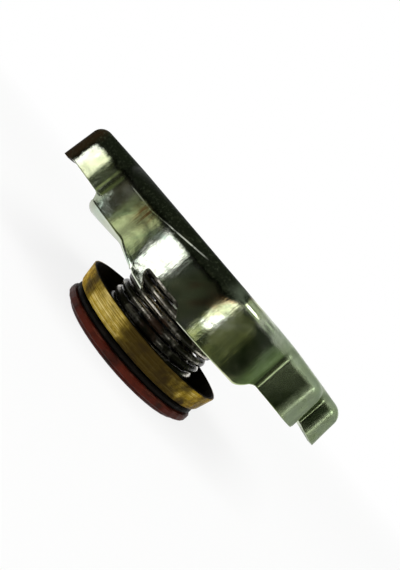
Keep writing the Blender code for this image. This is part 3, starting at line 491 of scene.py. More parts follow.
def zinc():
    """Zinc with a many-coloured film, a brown end of dirt and painted shade, a dark speckled
    shoulder of dirt and painted shade, painted shade in the necks, painted reflections on the right
    ear and low on the left, and a painted highlight line along the shoulder.
    """
    g = Surface("zinc_plate_aged", metallic=1.0, level=0.02)
    x, y, z = g.parts()
    film = g.noise(50.0, distortion=1.2)
    colour = g.mix(g.steps(film, 0.32, 0.44), FILM_TEAL, FILM_SILVER)
    colour = g.mix(g.steps(film, 0.50, 0.58), colour, FILM_YELLOW)
    colour = g.mix(g.steps(film, 0.60, 0.70), colour, FILM_BROWN)
    cloud = g.steps(g.noise(190.0, 5.0, 0.65), 0.44, 0.66, 0.0, 0.55)
    colour = g.mix(cloud, colour, CLOUD_GREEN)
    hatch = g.noise(1.0, 3.0, 0.6, g.stretch((1500.0, 1500.0, 110.0)))
    stain = g.times(g.near(STAIN_SPOT, STAIN_REACH), g.steps(hatch, 0.40, 0.58, 0.45, 1.0))
    colour = g.mix(stain, colour, STAIN_BROWN)
    # Painted reflection: the right ear tinted olive green for the room it mirrors
    right_ear = g.steps(x, *RIGHT_EAR_X)
    colour = g.mix(g.times(right_ear, 0.75), colour, EAR_REFLECTION_GREEN)
    # Painted shade: darker green in the concave necks and at the right ear's step
    necks = g.most(*(g.band(x, *edges) for edges in NECK_BANDS_X))
    colour = g.mix(g.times(necks, 0.75), colour, NECK_SHADE_GREEN)

    # Soil and painted shade: dirt with painted shade on the shoulder's left side and on the brown
    # end, thinner on the plate's face
    grit = g.noise(2300.0, 4.0, 0.7)
    blots = g.noise(420.0, 4.0, 0.6)
    soiled_shaded_side = g.steps(g.math("MULTIPLY_ADD", blots, 0.006, x), *SOILED_SHADED_SIDE_X)
    face = g.times(
        g.steps(g.math("MULTIPLY_ADD", blots, 0.010, g.radius()), *FACE_RADII),
        g.steps(z, *below_top(FACE_DEPTHS)),
    )
    shoulder = g.times(g.steps(z, *below_top(SHOULDER_DEPTHS)), g.lack(face, 0.55))
    end = g.steps(g.math("MULTIPLY_ADD", blots, 0.003, x), *BROWN_END_X)
    uneven = g.plus(
        g.math("MULTIPLY_ADD", grit, 0.35, -0.175),
        g.math("MULTIPLY_ADD", blots, 0.6, -0.3),
    )
    soil_and_shade_mask = g.plus(uneven, g.plus(g.times(shoulder, soiled_shaded_side), end))
    soil_and_shade_colour = g.mix(end, SOIL_AND_SHADE_BLACK, END_SOIL_AND_SHADE_BROWN)
    soil_and_shade_colour = g.mix(g.steps(grit, 0.52, 0.68, 0.0, 0.7), soil_and_shade_colour, SOIL_GRIT)
    soil_and_shade_colour = g.mix(g.steps(blots, 0.56, 0.70, 0.0, 0.4), soil_and_shade_colour, SOIL_BLOT)
    # Its colour sets in before its dullness, or its edge shows as a pale fringe
    colour = g.mix(g.steps(soil_and_shade_mask, 0.12, 0.52), colour, soil_and_shade_colour)
    dull_soil_and_shade = g.steps(soil_and_shade_mask, 0.36, 0.95)

    # Painted highlight: a bright line that slants down to the left along the shoulder
    want = g.math("MINIMUM", g.math("MULTIPLY_ADD", x, LINE_SLOPE, LINE_DEPTH), LINE_DEEPEST)
    gap = g.math("ABSOLUTE", g.math("SUBTRACT", g.math("SUBTRACT", TOP_Z, z), want))
    line = g.times(
        g.steps(gap, *LINE_WIDTHS),
        g.steps(x, *LINE_RIGHT_X),
        g.steps(x, *LINE_LEFT_X),
        g.steps(y, *LINE_SIDE_Y),
        g.steps(g.noise(420.0, 3.0, 0.6), 0.36, 0.60, 0.05, 0.50),
    )
    colour = g.mix(line, colour, LINE_PAINTED_HIGHLIGHT)

    # Dust: on the right shoulder, the right ear's corner and its tip, with bright rubbed places
    corner = g.times(g.steps(x, *CORNER_DUST_X), g.steps(y, *CORNER_DUST_Y))
    rim = g.times(
        g.steps(z, *below_top(RIM_DUST_DEPTHS)),
        g.steps(x, *RIM_DUST_X),
        g.lack(face, 0.80),
    )
    rubbed = g.most(*(g.near(spot, reach) for spot, reach in RUBBED_SPOTS))
    dust = g.times(
        g.most(corner, rim, g.steps(x, *TIP_DUST_X)),
        g.steps(blots, 0.30, 0.60, 0.45, 0.85),
        g.lack(rubbed),
    )
    colour = g.mix(dust, colour, DUST_GREY)
    # Painted reflection: pale grey low on the left skirt and claw
    low = g.times(g.steps(z, *below_top(LOW_GREY_DEPTHS)), g.steps(x, *LOW_GREY_X))
    colour = g.mix(g.times(low, 0.65), colour, LOW_REFLECTION_GREY)

    rough = g.plus(
        g.steps(g.noise(170.0), 0.3, 0.75, 0.07, 0.17),
        g.times(right_ear, 0.06),
        g.times(g.most(dull_soil_and_shade, line), 0.35),
        g.times(dust, 0.20),
        g.steps(x, *HAZY_END_X, 0.0, 0.13),
    )
    haze = g.steps(g.noise(75.0, 5.0, 0.6, distortion=0.5), 0.44, 0.68, 0.0, 0.03)
    matte = g.most(dull_soil_and_shade, g.times(dust, 0.7), haze)
    g.feed(g.shader.inputs["Metallic"], g.math("SUBTRACT", 1.0, matte, clamp=True))
    dents = g.bump(g.noise(130.0, 3.0, 0.5), 0.40, 0.0004)
    drawn = g.bump(hatch, 0.16, 0.00008, dents)
    grain = g.bump(g.noise(2600.0, 4.0, 0.6), 0.12, 0.00005, drawn)
    return g.finish(colour, rough, grain)


def brass():
    """Brass, golden and rubbed bright at one side, partly painted highlight, dark at the other and
    in a band from tarnish and painted shade, scratched, with painted shade inside.
    """
    g = Surface("brass_worn", metallic=1.0, level=0.02)
    g.shader.inputs["Specular Tint"].default_value = BRASS_TINT
    x, _, z = g.parts()
    rings = g.noise(1.0, 5.0, 0.65, g.rings(5200.0))
    patches = g.noise(130.0, 5.0, 0.65)
    off_band = g.math("ABSOLUTE", g.plus(x, -BAND_X))
    # Tarnish in patches, with painted shade as a dark band and on the right side
    tarnish_and_shade = g.plus(
        patches,
        g.steps(off_band, 0.0085, 0.0015, -0.09, 0.14),
        g.steps(x, *CUP_SHADE_SIDE_X, 0.0, 0.08),
    )
    colour = g.mix(g.steps(tarnish_and_shade, 0.32, 0.62), BRASS_GOLD, BRASS_TARNISH_AND_SHADE)
    # Rubbed bright brass, partly painted highlight, where tarnish and painted shade are least
    polish_and_highlight = g.steps(tarnish_and_shade, 0.50, 0.34, 0.05, 0.70)
    colour = g.mix(g.times(g.steps(rings, 0.46, 0.64), polish_and_highlight), colour, BRASS_RUBBED_AND_HIGHLIGHT)
    scores = g.steps(g.noise(1.0, 4.0, 0.7, g.rings(2400.0)), 0.56, 0.70, 0.0, 0.40)
    colour = g.mix(scores, colour, BRASS_SCORE)
    # Dark smudges, with more of them in the band of painted shade
    smears_and_shade = g.plus(g.noise(95.0, 5.0, 0.65), g.steps(off_band, 0.0065, 0.0020, -0.08, 0.06))
    smudge_and_shade = g.steps(smears_and_shade, 0.54, 0.66)
    colour = g.mix(g.times(smudge_and_shade, 0.85), colour, BRASS_SMUDGE_AND_SHADE)
    # Painted shade on the inside of the cup's wall
    flare = g.times(g.math("SUBTRACT", z, CUP_WALL_Z), CUP_FLARE)
    wall = g.math("SUBTRACT", g.radius(), flare)
    inside = g.times(g.steps(wall, *CUP_INSIDE_RADII), g.steps(z, *CUP_LIP_Z))
    colour = g.mix(g.times(inside, 0.96), colour, BRASS_INSIDE_SHADE)
    rough = g.plus(
        g.steps(rings, 0.3, 0.8, 0.24, 0.40),
        g.times(smudge_and_shade, 0.2),
        g.times(inside, 0.25),
    )
    dull = g.most(
        g.steps(tarnish_and_shade, 0.36, 0.62, 0.15, 0.85),
        g.times(g.most(smudge_and_shade, inside), 0.95),
    )
    g.feed(g.shader.inputs["Metallic"], g.math("SUBTRACT", 1.0, dull))
    dents = g.bump(g.noise(170.0, 3.0), 0.45, 0.0005)
    return g.finish(colour, rough, g.bump(rings, 0.45, 0.00008, dents))


def spring_steel():
    """Oiled spring wire: dark with rubbed bright patches, brown and greenish in places."""
    g = Surface("spring_steel_oiled", metallic=1.0, level=0.15)
    grime = g.steps(g.noise(190.0, 4.0, 0.6), 0.38, 0.54)
    colour = g.mix(grime, WIRE_BRIGHT, WIRE_GRIME)
    g.feed(g.shader.inputs["Metallic"], g.lack(grime, 0.80))
    rust = g.steps(g.noise(140.0, 4.0, 0.6), 0.54, 0.66, 0.0, 0.6)
    colour = g.mix(rust, colour, WIRE_RUST)
    rough = g.steps(g.noise(700.0), 0.3, 0.8, 0.14, 0.34)
    return g.finish(colour, rough, g.bump(g.noise(2200.0), 0.25, 0.00006))


def black_steel():
    """Blackened steel, worn to grey in places."""
    g = Surface("black_steel_worn", metallic=1.0)
    worn = g.steps(g.noise(320.0, 5.0, 0.65), 0.58, 0.74, 0.0, 0.7)
    colour = g.mix(worn, STEEL_BLACK, STEEL_WORN)
    rough = g.steps(g.noise(500.0), 0.3, 0.8, 0.32, 0.55)
    return g.finish(colour, rough, g.bump(g.noise(1500.0), 0.2, 0.00006))


def black_rubber():
    """Black rubber under a film of dust."""
    g = Surface("black_rubber_dusty", level=0.06)
    dust = g.steps(g.noise(480.0, 5.0, 0.6), 0.50, 0.75, 0.0, 0.4)
    colour = g.mix(dust, RUBBER_BLACK, RUBBER_DUST)
    rough = g.steps(g.noise(300.0, 3.0), 0.3, 0.8, 0.50, 0.75)
    return g.finish(colour, rough, g.bump(g.noise(1800.0), 0.25, 0.00008))


def red_rubber():
    """Dull dark red rubber, dirty in places and pale along its upper edge with dust and painted
    highlight.
    """
    g = Surface("red_rubber_dull", level=0.08)
    faded = g.steps(g.noise(230.0, 5.0, 0.6), 0.40, 0.70)
    colour = g.mix(faded, SEAL_RED, SEAL_FADED)
    dirt = g.steps(g.noise(120.0, 5.0, 0.65), 0.50, 0.66, 0.0, 0.8)
    colour = g.mix(dirt, colour, SEAL_DIRT)
    # Dust and painted highlight: paler along the upper edge
    upper = g.steps(g.parts()[2], *SEAL_EDGE_Z)
    rubbed = g.times(upper, g.steps(g.noise(500.0, 4.0, 0.6), 0.40, 0.62, 0.0, 0.6))
    colour = g.mix(rubbed, colour, SEAL_DUST_AND_HIGHLIGHT)
    rough = g.steps(g.noise(400.0, 3.0), 0.3, 0.8, 0.38, 0.62)
    return g.finish(colour, rough, g.bump(g.noise(1200.0), 0.3, 0.00008))


FINISHES = {
    "zinc_plate": zinc(),
    "worn_brass": brass(),
    "dark_spring_steel": spring_steel(),
    "black_steel": black_steel(),
    "black_rubber": black_rubber(),
    "red_rubber": red_rubber(),
}


def dress_nodes():
    """Give each CAD node the finish of its slot in the record."""
    for part in frame["record"]["subparts"]:
        node = frame["nodes"][part["node"]]
        finish = FINISHES[part["material_slot"]]
        if not node.material_slots:
            node.data.materials.append(finish)
        for slot in node.material_slots:
            slot.material = finish


def blend(value, low, high, start, end):
    """A straight run from start to end as value goes from low to high."""
    share = min(1.0, max(0.0, (value - low) / (high - low)))
    return start + (end - start) * share


def ease(value, low, high, start, end):
    """As blend, with a soft start and end."""
    share = blend(value, low, high, 0.0, 1.0)
    return start + (end - start) * share * share * (3.0 - 2.0 * share)


def side_place(bearing_deg, radius):
    """The plan point at a bearing from the middle of the side that faces -Y."""
    bearing = math.radians(bearing_deg)
    return Vector((radius * math.sin(bearing), -radius * math.cos(bearing)))


def body_arc(from_deg, to_deg):
    """(point, normal) pairs along the round body, angles measured from +X."""
    steps = max(1, math.ceil((to_deg - from_deg) / BODY_STEP_DEG))
    pairs = []
    for step in range(steps + 1):
        angle = math.radians(from_deg + (to_deg - from_deg) * step / steps)
        spoke = Vector((math.cos(angle), math.sin(angle)))
        pairs.append((spoke * BODY_RADIUS, spoke))
    return pairs


def rounded_corner(before, corner, after, radius):
    """(point, normal) pairs of the arc that rounds one corner of an anticlockwise outline."""
    into = (corner - before).normalized()
    onward = (after - corner).normalized()
    turn = -into.angle_signed(onward)
    side = math.copysign(1.0, turn)
    first = Vector((into.y, -into.x))
    centre = corner - into * radius * math.tan(abs(turn) / 2.0) - first * radius * side
    steps = max(1, math.ceil(math.degrees(abs(turn)) / CORNER_STEP_DEG))
    pairs = []
    for step in range(steps + 1):
        normal = first.copy()
        normal.rotate(Matrix.Rotation(turn * step / steps, 2))
        pairs.append((centre + normal * radius * side, normal))
    return pairs


def ear_outline():
    """The +X ear from root to root: stepped on one side, plain on the claw's side."""
    root_y = EAR_HALF_WIDTH + EAR_ROOT_TAPER
    root = Vector((math.sqrt(BODY_RADIUS**2 - root_y**2), -root_y))
    far_root = Vector((root.x, -root.y))
    bend_x = root.x + EAR_ROOT_LENGTH
    half = EAR_HALF_WIDTH
    tip = EAR_TIP_HALF_WIDTH
    corners = [
        (root - Vector((-root.y, root.x)), 0.0),
        (root, EAR_NECK_RADIUS),
        (Vector((bend_x, -half)), EAR_BEND_RADIUS),
        (Vector((EAR_STEP_X, -half)), EAR_CORNER_RADIUS),
        (Vector((EAR_STEP_X, -tip)), EAR_STEP_RADIUS),
        (Vector((EAR_REACH, -tip)), EAR_TIP_CORNER_RADIUS),
        (Vector((EAR_REACH - EAR_TIP_SLANT, half)), EAR_CLAW_CORNER_RADIUS),
        (Vector((bend_x, half)), EAR_BEND_RADIUS),
        (far_root, EAR_NECK_RADIUS),
        (far_root + Vector((-far_root.y, far_root.x)), 0.0),
    ]
    outline = []
    for before, here, after in zip(corners, corners[1:], corners[2:]):
        outline += rounded_corner(before[0], here[0], after[0], here[1])
    return outline


def filled_in(pairs):
    """The outline with more (point, normal) pairs along its long straights."""
    full = []
    for (point, normal), (after, after_normal) in zip(pairs, pairs[1:]):
        count = max(1, math.ceil((after - point).length / LONGEST_STEP))
        for step in range(count):
            share = step / count
            between = normal.lerp(after_normal, share).normalized()
            full.append((point.lerp(after, share), between))
    full.append(pairs[-1])
    return full


def cover_outline():
    """The whole plan, anticlockwise from the middle of the side that faces -Y."""
    ear = filled_in(ear_outline())
    first, last = (math.degrees(math.atan2(p.y, p.x)) for p in (ear[0][0], ear[-1][0]))
    half = body_arc(-90.0, first)[:-1] + ear + body_arc(last, 90.0)[1:-1]
    outline = half + [(-point, -normal) for point, normal in half]
    for bearing in (CLAW_FROM_DEG, CLAW_TO_DEG, CLAW_MERGE_DEG, TONGUE_KNEE_DEG, TONGUE_TIP_DEG):
        for side in (1.0, -1.0):
            spoke = side_place(bearing, 1.0) * side
            outline.append((spoke * BODY_RADIUS, spoke))
    outline.sort(key=lambda pair: math.atan2(pair[0].x, -pair[0].y) % math.tau)
    kept = [outline[0]]
    for pair in outline[1:]:
        if (pair[0] - kept[-1][0]).length > NEAREST_COLUMNS:
            kept.append(pair)
    return kept


def bearing_of(point):
    """Degrees from the middle of the nearer long side, anticlockwise seen from above."""
    side = point if point.y < 0.0 else -point
    return math.degrees(math.atan2(side.x, -side.y))


def on_body(point):
    return point.length < BODY_RADIUS + SAME_RADIUS


def in_claw(point):
    """Whether a claw hangs from the skirt's lower edge at this plan point."""
    first = CLAW_FROM_DEG - SAME_BEARING_DEG
    last = CLAW_MERGE_DEG + SAME_BEARING_DEG
    return on_body(point) and first < bearing_of(point) < last


def claw_bend(bearing):
    """The radius of the claw's bend, which runs out towards the tongue."""
    if bearing < CLAW_TO_DEG:
        return blend(bearing, CLAW_FROM_DEG, CLAW_TO_DEG, CLAW_BEND_RADIUS, CLAW_INNER_BEND_RADIUS)
    if bearing < CLAW_THIN_DEG:
        return ease(bearing, CLAW_TO_DEG, CLAW_THIN_DEG, CLAW_INNER_BEND_RADIUS, CLAW_THIN_BEND)
    return blend(bearing, CLAW_THIN_DEG, CLAW_MERGE_DEG, CLAW_THIN_BEND, CLAW_MERGE_BEND)


def claw_reach(bearing):
    """How far the claw's lip reaches in: cut back at its lead, fading out towards the tongue."""
    lead = blend(bearing, CLAW_FROM_DEG, CLAW_FROM_DEG + CLAW_CORNER_DEG, 1.0, 0.0)
    reach = CLAW_REACH - CLAW_CORNER_CUT * lead**2
    return ease(bearing, CLAW_TO_DEG - CLAW_CORNER_DEG, CLAW_THIN_DEG, reach, CLAW_MERGE_BEND)


def ear_tip_depth(point):
    """The lower edge's depth at an ear's end, deeper on the claw's side."""
    claw_side = math.copysign(point.y, point.x * point.y)
    half = EAR_TIP_HALF_WIDTH
    edge = blend(claw_side, -half, half, EAR_TIP_DEPTH, EAR_TIP_CLAW_SIDE_DEPTH)
    return edge - blend(abs(point.x), EAR_STEP_X, EAR_REACH, EAR_TIP_RISE, 0.0)


def tongue_side_depth(bearing):
    """The lower edge's depth from the tongue's root to its knee."""
    return blend(bearing, TONGUE_START_DEG, TONGUE_KNEE_DEG, TONGUE_ROOT_DEPTH, TONGUE_KNEE_DEPTH)


def skirt_depth(point):
    """How far below the top plate the skirt's lower edge lies at a plan point."""
    if not on_body(point):
        reach = abs(point.x)
        if reach < EAR_STEP_X:
            return blend(reach, EAR_ROOT_DEPTH_X, EAR_STEP_X, EAR_ROOT_DEPTH, EAR_FLANK_DEPTH)
        return ear_tip_depth(point)
    bearing = bearing_of(point)
    if in_claw(point):
        edge = blend(bearing, CLAW_FROM_DEG, CLAW_TO_DEG, CLAW_DEPTH, CLAW_INNER_DEPTH)
        if bearing > CLAW_TO_DEG:
            edge = tongue_side_depth(bearing)
        return edge - claw_bend(bearing)
    if bearing < CLAW_FROM_DEG:
        bend_depth = CLAW_DEPTH - CLAW_BEND_RADIUS
        lead = CLAW_FROM_DEG - CLAW_LEAD_DEG
        return blend(bearing, lead, CLAW_FROM_DEG, EAR_ROOT_DEPTH, bend_depth)
    if bearing < TONGUE_KNEE_DEG:
        return tongue_side_depth(bearing)
    if bearing < TONGUE_TIP_DEG + SAME_BEARING_DEG:
        return blend(bearing, TONGUE_KNEE_DEG, TONGUE_TIP_DEG, TONGUE_KNEE_DEPTH, TONGUE_DEPTH)
    return blend(bearing, *SKIRT_RISE_DEG, SKIRT_DEPTH, EAR_ROOT_DEPTH)


def smoothed_depths(outline):
    """The lower edge's depths, evened out along the sheet except at the tongue's tip."""
    depths = [skirt_depth(point) for point, _ in outline]
    even = []
    count = len(outline)
    for index, (point, _) in enumerate(outline):
        near = [index]
        for way in (1, -1):
            other = index + way
            while (outline[other % count][0] - point).length < EDGE_SMOOTHING:
                near.append(other % count)
                other += way
        sharp = on_body(point) and TONGUE_KNEE_DEG < bearing_of(point) < NOTCH_TO_DEG
        even.append(depths[index] if sharp else sum(depths[i] for i in near) / len(near))
    return even


def droop(x):
    """How far the ears bend down at a distance x from the middle."""
    past = abs(x) - EAR_DROOP_START
    if past <= 0.0:
        return 0.0
    slope = math.tan(math.radians(EAR_DROOP_PLUS_DEG if x > 0.0 else EAR_DROOP_MINUS_DEG))
    if past < EAR_DROOP_BEND:
        return slope * past**2 / (2.0 * EAR_DROOP_BEND)
    return slope * (past - EAR_DROOP_BEND / 2.0)


def dent(spot):
    """Shallow unevenness of a worn stamping, only inwards."""
    broad = sum(noise.noise(spot * scale) * share for scale, share in DENT_WAVES)
    return DENT_DEPTH * (broad - sum(share for _, share in DENT_WAVES))


def sheet_row(outline, offsets, depths):
    """One row round the cover, each point pushed out by its offset and down by its depth."""
    row = []
    for (point, normal), offset, depth in zip(outline, offsets, depths):
        spot = point + normal * offset
        place = Vector((spot.x, spot.y, TOP_Z - depth - droop(spot.x)))
        push = normal * dent(place)
        row.append(place + Vector((push.x, push.y, 0.0)))
    return row


def plate_rows(outline):
    """Rows of the top plate: recess floor, its wall, and the plate out to the shoulder."""
    rows = []
    low = RECESS_RADIUS - RECESS_EDGE
    high = RECESS_RADIUS + RECESS_EDGE
    out = EAR_DROOP_START - high
    radii = [HOLE_RADIUS, (HOLE_RADIUS + low) / 2.0, low - RECESS_FLOOR_MARGIN]
    radii += [low + (high - low) * step / RECESS_STEPS for step in range(RECESS_STEPS + 1)]
    radii += [high + out * step / PLATE_STEPS for step in range(1, PLATE_STEPS + 1)]
    for radius in radii:
        depth = ease(radius, low, high - RECESS_BRINK_MARGIN, RECESS_DEPTH, 0.0)
        rows.append([Vector((*(p.normalized() * radius), TOP_Z - depth)) for p, _ in outline])
    for step in range(1, OUTER_PLATE_STEPS):
        row = []
        for point, normal in outline:
            start = point.normalized() * EAR_DROOP_START
            end = point - normal * SHOULDER_RADIUS
            spot = start.lerp(end, step / OUTER_PLATE_STEPS)
            row.append(Vector((spot.x, spot.y, TOP_Z - droop(spot.x))))
        rows.append(row)
    return rows


def skirt_rows(outline, depths):
    """Rows of the rolled shoulder and, below it, of the flared skirt down to its lower edge."""
    rows = []
    count = len(outline)
    for step in range(SHOULDER_STEPS + 1):
        turn = math.atan(1.0 / FLARE) * step / SHOULDER_STEPS
        inset = SHOULDER_RADIUS * (math.sin(turn) - 1.0)
        depth = SHOULDER_RADIUS * (1.0 - math.cos(turn))
        rows.append(sheet_row(outline, [inset] * count, [depth] * count))
    shares = [step / SKIRT_STEPS for step in range(1, SKIRT_STEPS)] + [EDGE_ROW_SHARE, 1.0]
    for share in shares:
        levels = [SHOULDER_RADIUS + (depth - SHOULDER_RADIUS) * share for depth in depths]
        offsets = [(level - SHOULDER_RADIUS) * FLARE for level in levels]
        rows.append(sheet_row(outline, offsets, levels))
    return rows


def claw_rows(outline, depths, columns):
    """Rows of one claw from the skirt's lower edge round its bend and in along its lip."""
    rows = []
    for step in range(1, CLAW_BEND_STEPS + CLAW_LIP_STEPS + 1):
        turn = math.radians(90.0) * min(step, CLAW_BEND_STEPS) / CLAW_BEND_STEPS
        lip_share = max(0, step - CLAW_BEND_STEPS) / CLAW_LIP_STEPS
        row = []
        for index in columns:
            point, normal = outline[index]
            bearing = bearing_of(point)
            bend = claw_bend(bearing)
            lip = max(CLAW_LEAST_LIP, claw_reach(bearing) - bend) * lip_share
            rise = blend(bearing, CLAW_FROM_DEG, CLAW_TO_DEG, 0.0, CLAW_RAMP) * lip_share
            outer = (depths[index] - SHOULDER_RADIUS) * FLARE
            spot = point + normal * (outer - bend * (1.0 - math.cos(turn)) - lip)
            height = TOP_Z + rise - depths[index] - bend * math.sin(turn)
            row.append(Vector((spot.x, spot.y, height)))
        rows.append(row)
    return rows


def skin(bm, rows, closed):
    """Join neighbouring rows of vertices with quads."""
    for upper, lower in zip(rows, rows[1:]):
        count = len(upper)
        for index in range(count if closed else count - 1):
            after = (index + 1) % count
            bm.faces.new((upper[index], lower[index], lower[after], upper[after]))


def mesh_from(bm, name):
    mesh = bpy.data.meshes.new(name)
    bm.to_mesh(mesh)
    bm.free()
    return mesh


def applied_mesh(obj):
    """A new mesh of obj as its modifiers, or its curve's bevel, leave it."""
    bpy.context.view_layer.update()
    graph = bpy.context.evaluated_depsgraph_get()
    return bpy.data.meshes.new_from_object(obj.evaluated_get(graph))


def notch_cutter(turn):
    """A wedge-sided block that cuts the notch in one long side of the skirt."""
    span = BODY_RADIUS + SHOULDER_RADIUS
    bottom = TONGUE_DEPTH + SHEET
    left, tip, right, leave = (
        side_place(bearing, span).x
        for bearing in (NOTCH_FROM_DEG, TONGUE_TIP_DEG, NOTCH_TO_DEG, NOTCH_EXIT_DEG)
    )
    corners = [
        (tip, -bottom, 0.0),
        (leave, -bottom, 0.0),
        (leave, -SKIRT_DEPTH, 0.0),
        (right, -NOTCH_TOP_DEPTH, NOTCH_CORNER_RADIUS),
        (left, -NOTCH_TOP_DEPTH, NOTCH_CORNER_RADIUS),
        (left, -(NOTCH_TOP_DEPTH + SKIRT_DEPTH) / 2.0, NOTCH_CORNER_RADIUS),
        (tip, -TONGUE_DEPTH, 0.0),
    ]
    path = []
    for index, (u, v, radius) in enumerate(corners):
        before = Vector(corners[index - 1][:2])
        after = Vector(corners[(index + 1) % len(corners)][:2])
        here = Vector((u, v))
        if radius > 0.0:
            half = (before - here).angle(after - here) / 2.0
            shorter = min((before - here).length, (after - here).length)
            room = NOTCH_CORNER_SHARE * shorter * math.tan(half)
            path += [point for point, _ in rounded_corner(before, here, after, min(radius, room))]
        else:
            path.append(here)
    bm = bmesh.new()
    near = -BODY_RADIUS - SKIRT_DEPTH
    face = bm.faces.new([bm.verts.new((p.x, near, TOP_Z + p.y)) for p in path])
    moved = bmesh.ops.extrude_face_region(bm, geom=[face])["geom"]
    for vert in moved:
        if isinstance(vert, bmesh.types.BMVert):
            vert.co.y = -BODY_RADIUS / 2.0
    bmesh.ops.recalc_face_normals(bm, faces=bm.faces)
    cutter = new_object("notch_cutter", mesh_from(bm, "notch_cutter"))
    cutter.rotation_euler.z = turn
    return cutter


def cover_mesh():
    """The cover's outer face, one skin from the rivet hole to the claws' lips."""
    outline = cover_outline()
    depths = smoothed_depths(outline)
    bm = bmesh.new()
    places = plate_rows(outline) + skirt_rows(outline, depths)
    rows = [[bm.verts.new(place) for place in row] for row in places]
    skin(bm, rows, True)
    for side in (1.0, -1.0):
        columns = [
            index
            for index, (point, _) in enumerate(outline)
            if in_claw(point) and point.y * side < 0.0
        ]
        claw = [[rows[-1][index] for index in columns]]
        for row in claw_rows(outline, depths, columns):
            claw.append([bm.verts.new(place) for place in row])
        skin(bm, claw, False)
    return mesh_from(bm, "cover_sheet")


def add_cover():
    """The stamped sheet of the cover, finer than its solid and with rounded edges."""
    cover = new_object("cover_sheet", cover_mesh())
    sheet = cover.modifiers.new("thickness", "SOLIDIFY")
    sheet.thickness = SHEET
    sheet.offset = -1.0
    edges = cover.modifiers.new("edges", "BEVEL")
    edges.width = SHEET_EDGE
    edges.segments = SHEET_EDGE_SEGMENTS
    edges.limit_method = "ANGLE"
    edges.angle_limit = math.radians(SHEET_EDGE_DEG)
    cutters = [notch_cutter(0.0), notch_cutter(math.pi)]
    for cutter in cutters:
        cut = cover.modifiers.new("notch", "BOOLEAN")
        cut.operation = "DIFFERENCE"
        cut.solver = "EXACT"
        cut.object = cutter
    mesh = applied_mesh(cover)
    cover.modifiers.clear()
    cover.data = mesh
    for cutter in cutters:
        bpy.data.objects.remove(cutter, do_unlink=True)
    mesh.shade_smooth()
    mesh.set_sharp_from_angle(angle=math.radians(SMOOTH_DEG))
    mesh.materials.clear()
    mesh.materials.append(FINISHES["zinc_plate"])
    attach(cover, "cover")
    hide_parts("cover_shell")


def coil_points(radius, start_deg, stages, steps_per_turn):
    """Points of a coil whose height grows by each (turns, rise) stage in turn."""
    points = []
    done = 0.0
    height = 0.0
    for turns, rise in stages:
        count = round(turns * steps_per_turn)
        for step in range(1 if points else 0, count + 1):
            share = step / count
            angle = math.radians(start_deg) + math.tau * (done + turns * share)
            flat = (radius * math.cos(angle), radius * math.sin(angle))
            points.append((*flat, height + rise * share))
        done += turns
        height += rise
    return points


def add_coil(
        name, node, body, joint, wire, start_deg, turns, closed_turns, end_gap, steps_per_turn):
    """A finer coil over a CAD spring, with closed end turns where asked, attached to its body."""
    low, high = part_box(node)
    length = high[2] - low[2]
    radius = (high[0] - low[0]) / 2.0 - wire / 2.0
    rise = length - wire
    stages = [(turns, rise)]
    if closed_turns:
        end_rise = closed_turns * (wire + end_gap)
        closed = (closed_turns, end_rise)
        stages = [closed, (turns, rise - 2.0 * end_rise), closed]
    points = coil_points(radius, start_deg, stages, steps_per_turn)
    curve = bpy.data.curves.new(name, "CURVE")
    curve.dimensions = "3D"
    curve.bevel_depth = wire / 2.0
    curve.bevel_resolution = WIRE_ROUNDNESS
    curve.use_fill_caps = True
    spline = curve.splines.new("POLY")
    spline.points.add(len(points) - 1)
    for spot, (x, y, z) in zip(spline.points, points):
        spot.co = (x, y, z + low[2] + wire / 2.0, 1.0)
    path = new_object(name + "_path", curve)
    mesh = applied_mesh(path)
    bpy.data.objects.remove(path, do_unlink=True)
    mesh.shade_smooth()
    mesh.materials.clear()
    mesh.materials.append(FINISHES[SPRING_SLOT])
    piece = new_object(name, mesh)
    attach(piece, body)
    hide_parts(node)
    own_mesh(piece)


def add_softbox(name, azimuth_deg, elevation_deg, distance, width, height, radiance, mirrored=True):
    """An area light that faces the cap; azimuth is measured from the camera's side."""
    data = bpy.data.lights.new(name, "AREA")
    data.shape = "RECTANGLE"
    data.size = width
    data.size_y = height
    data.energy = radiance * math.pi * width * height
    lamp = new_object(name, data)
    bearing = math.radians(VIEW_SIDE_DEG + azimuth_deg)
    rise = math.radians(elevation_deg)
    level = Vector((math.sin(bearing), -math.cos(bearing), 0.0)) * math.cos(rise)
    arm = level + Vector((0.0, 0.0, math.sin(rise)))
    lamp.location = arm * distance + Vector((0.0, 0.0, TOP_Z * 0.5))
    lamp.rotation_euler = arm.to_track_quat("Z", "Y").to_euler()
    lamp.visible_glossy = mirrored


def paper():
    """White paper that mostly glows for the camera and mirrors, so that a faint shadow stays."""
    g = Surface("paper_white", roughness=0.9, level=0.0)
    g.shader.inputs["Base Color"].default_value = PAPER_WHITE
    glow = g.node("ShaderNodeEmission")
    glow.inputs["Strength"].default_value = 1.0
    seen = g.node("ShaderNodeLightPath").outputs
    looks = g.most(seen["Is Camera Ray"], seen["Is Glossy Ray"], seen["Is Transmission Ray"])
    share = g.times(looks, g.steps(g.parts()[1], *PAPER_GLOW_Y, PAPER_GLOW, 1.0))
    mixed = g.node("ShaderNodeMixShader")
    for socket, value in zip(mixed.inputs, (share, g.shader.outputs[0], glow.outputs[0])):
        g.feed(socket, value)
    g.feed(g.tree.nodes["Material Output"].inputs["Surface"], mixed.outputs[0])
    return g.material


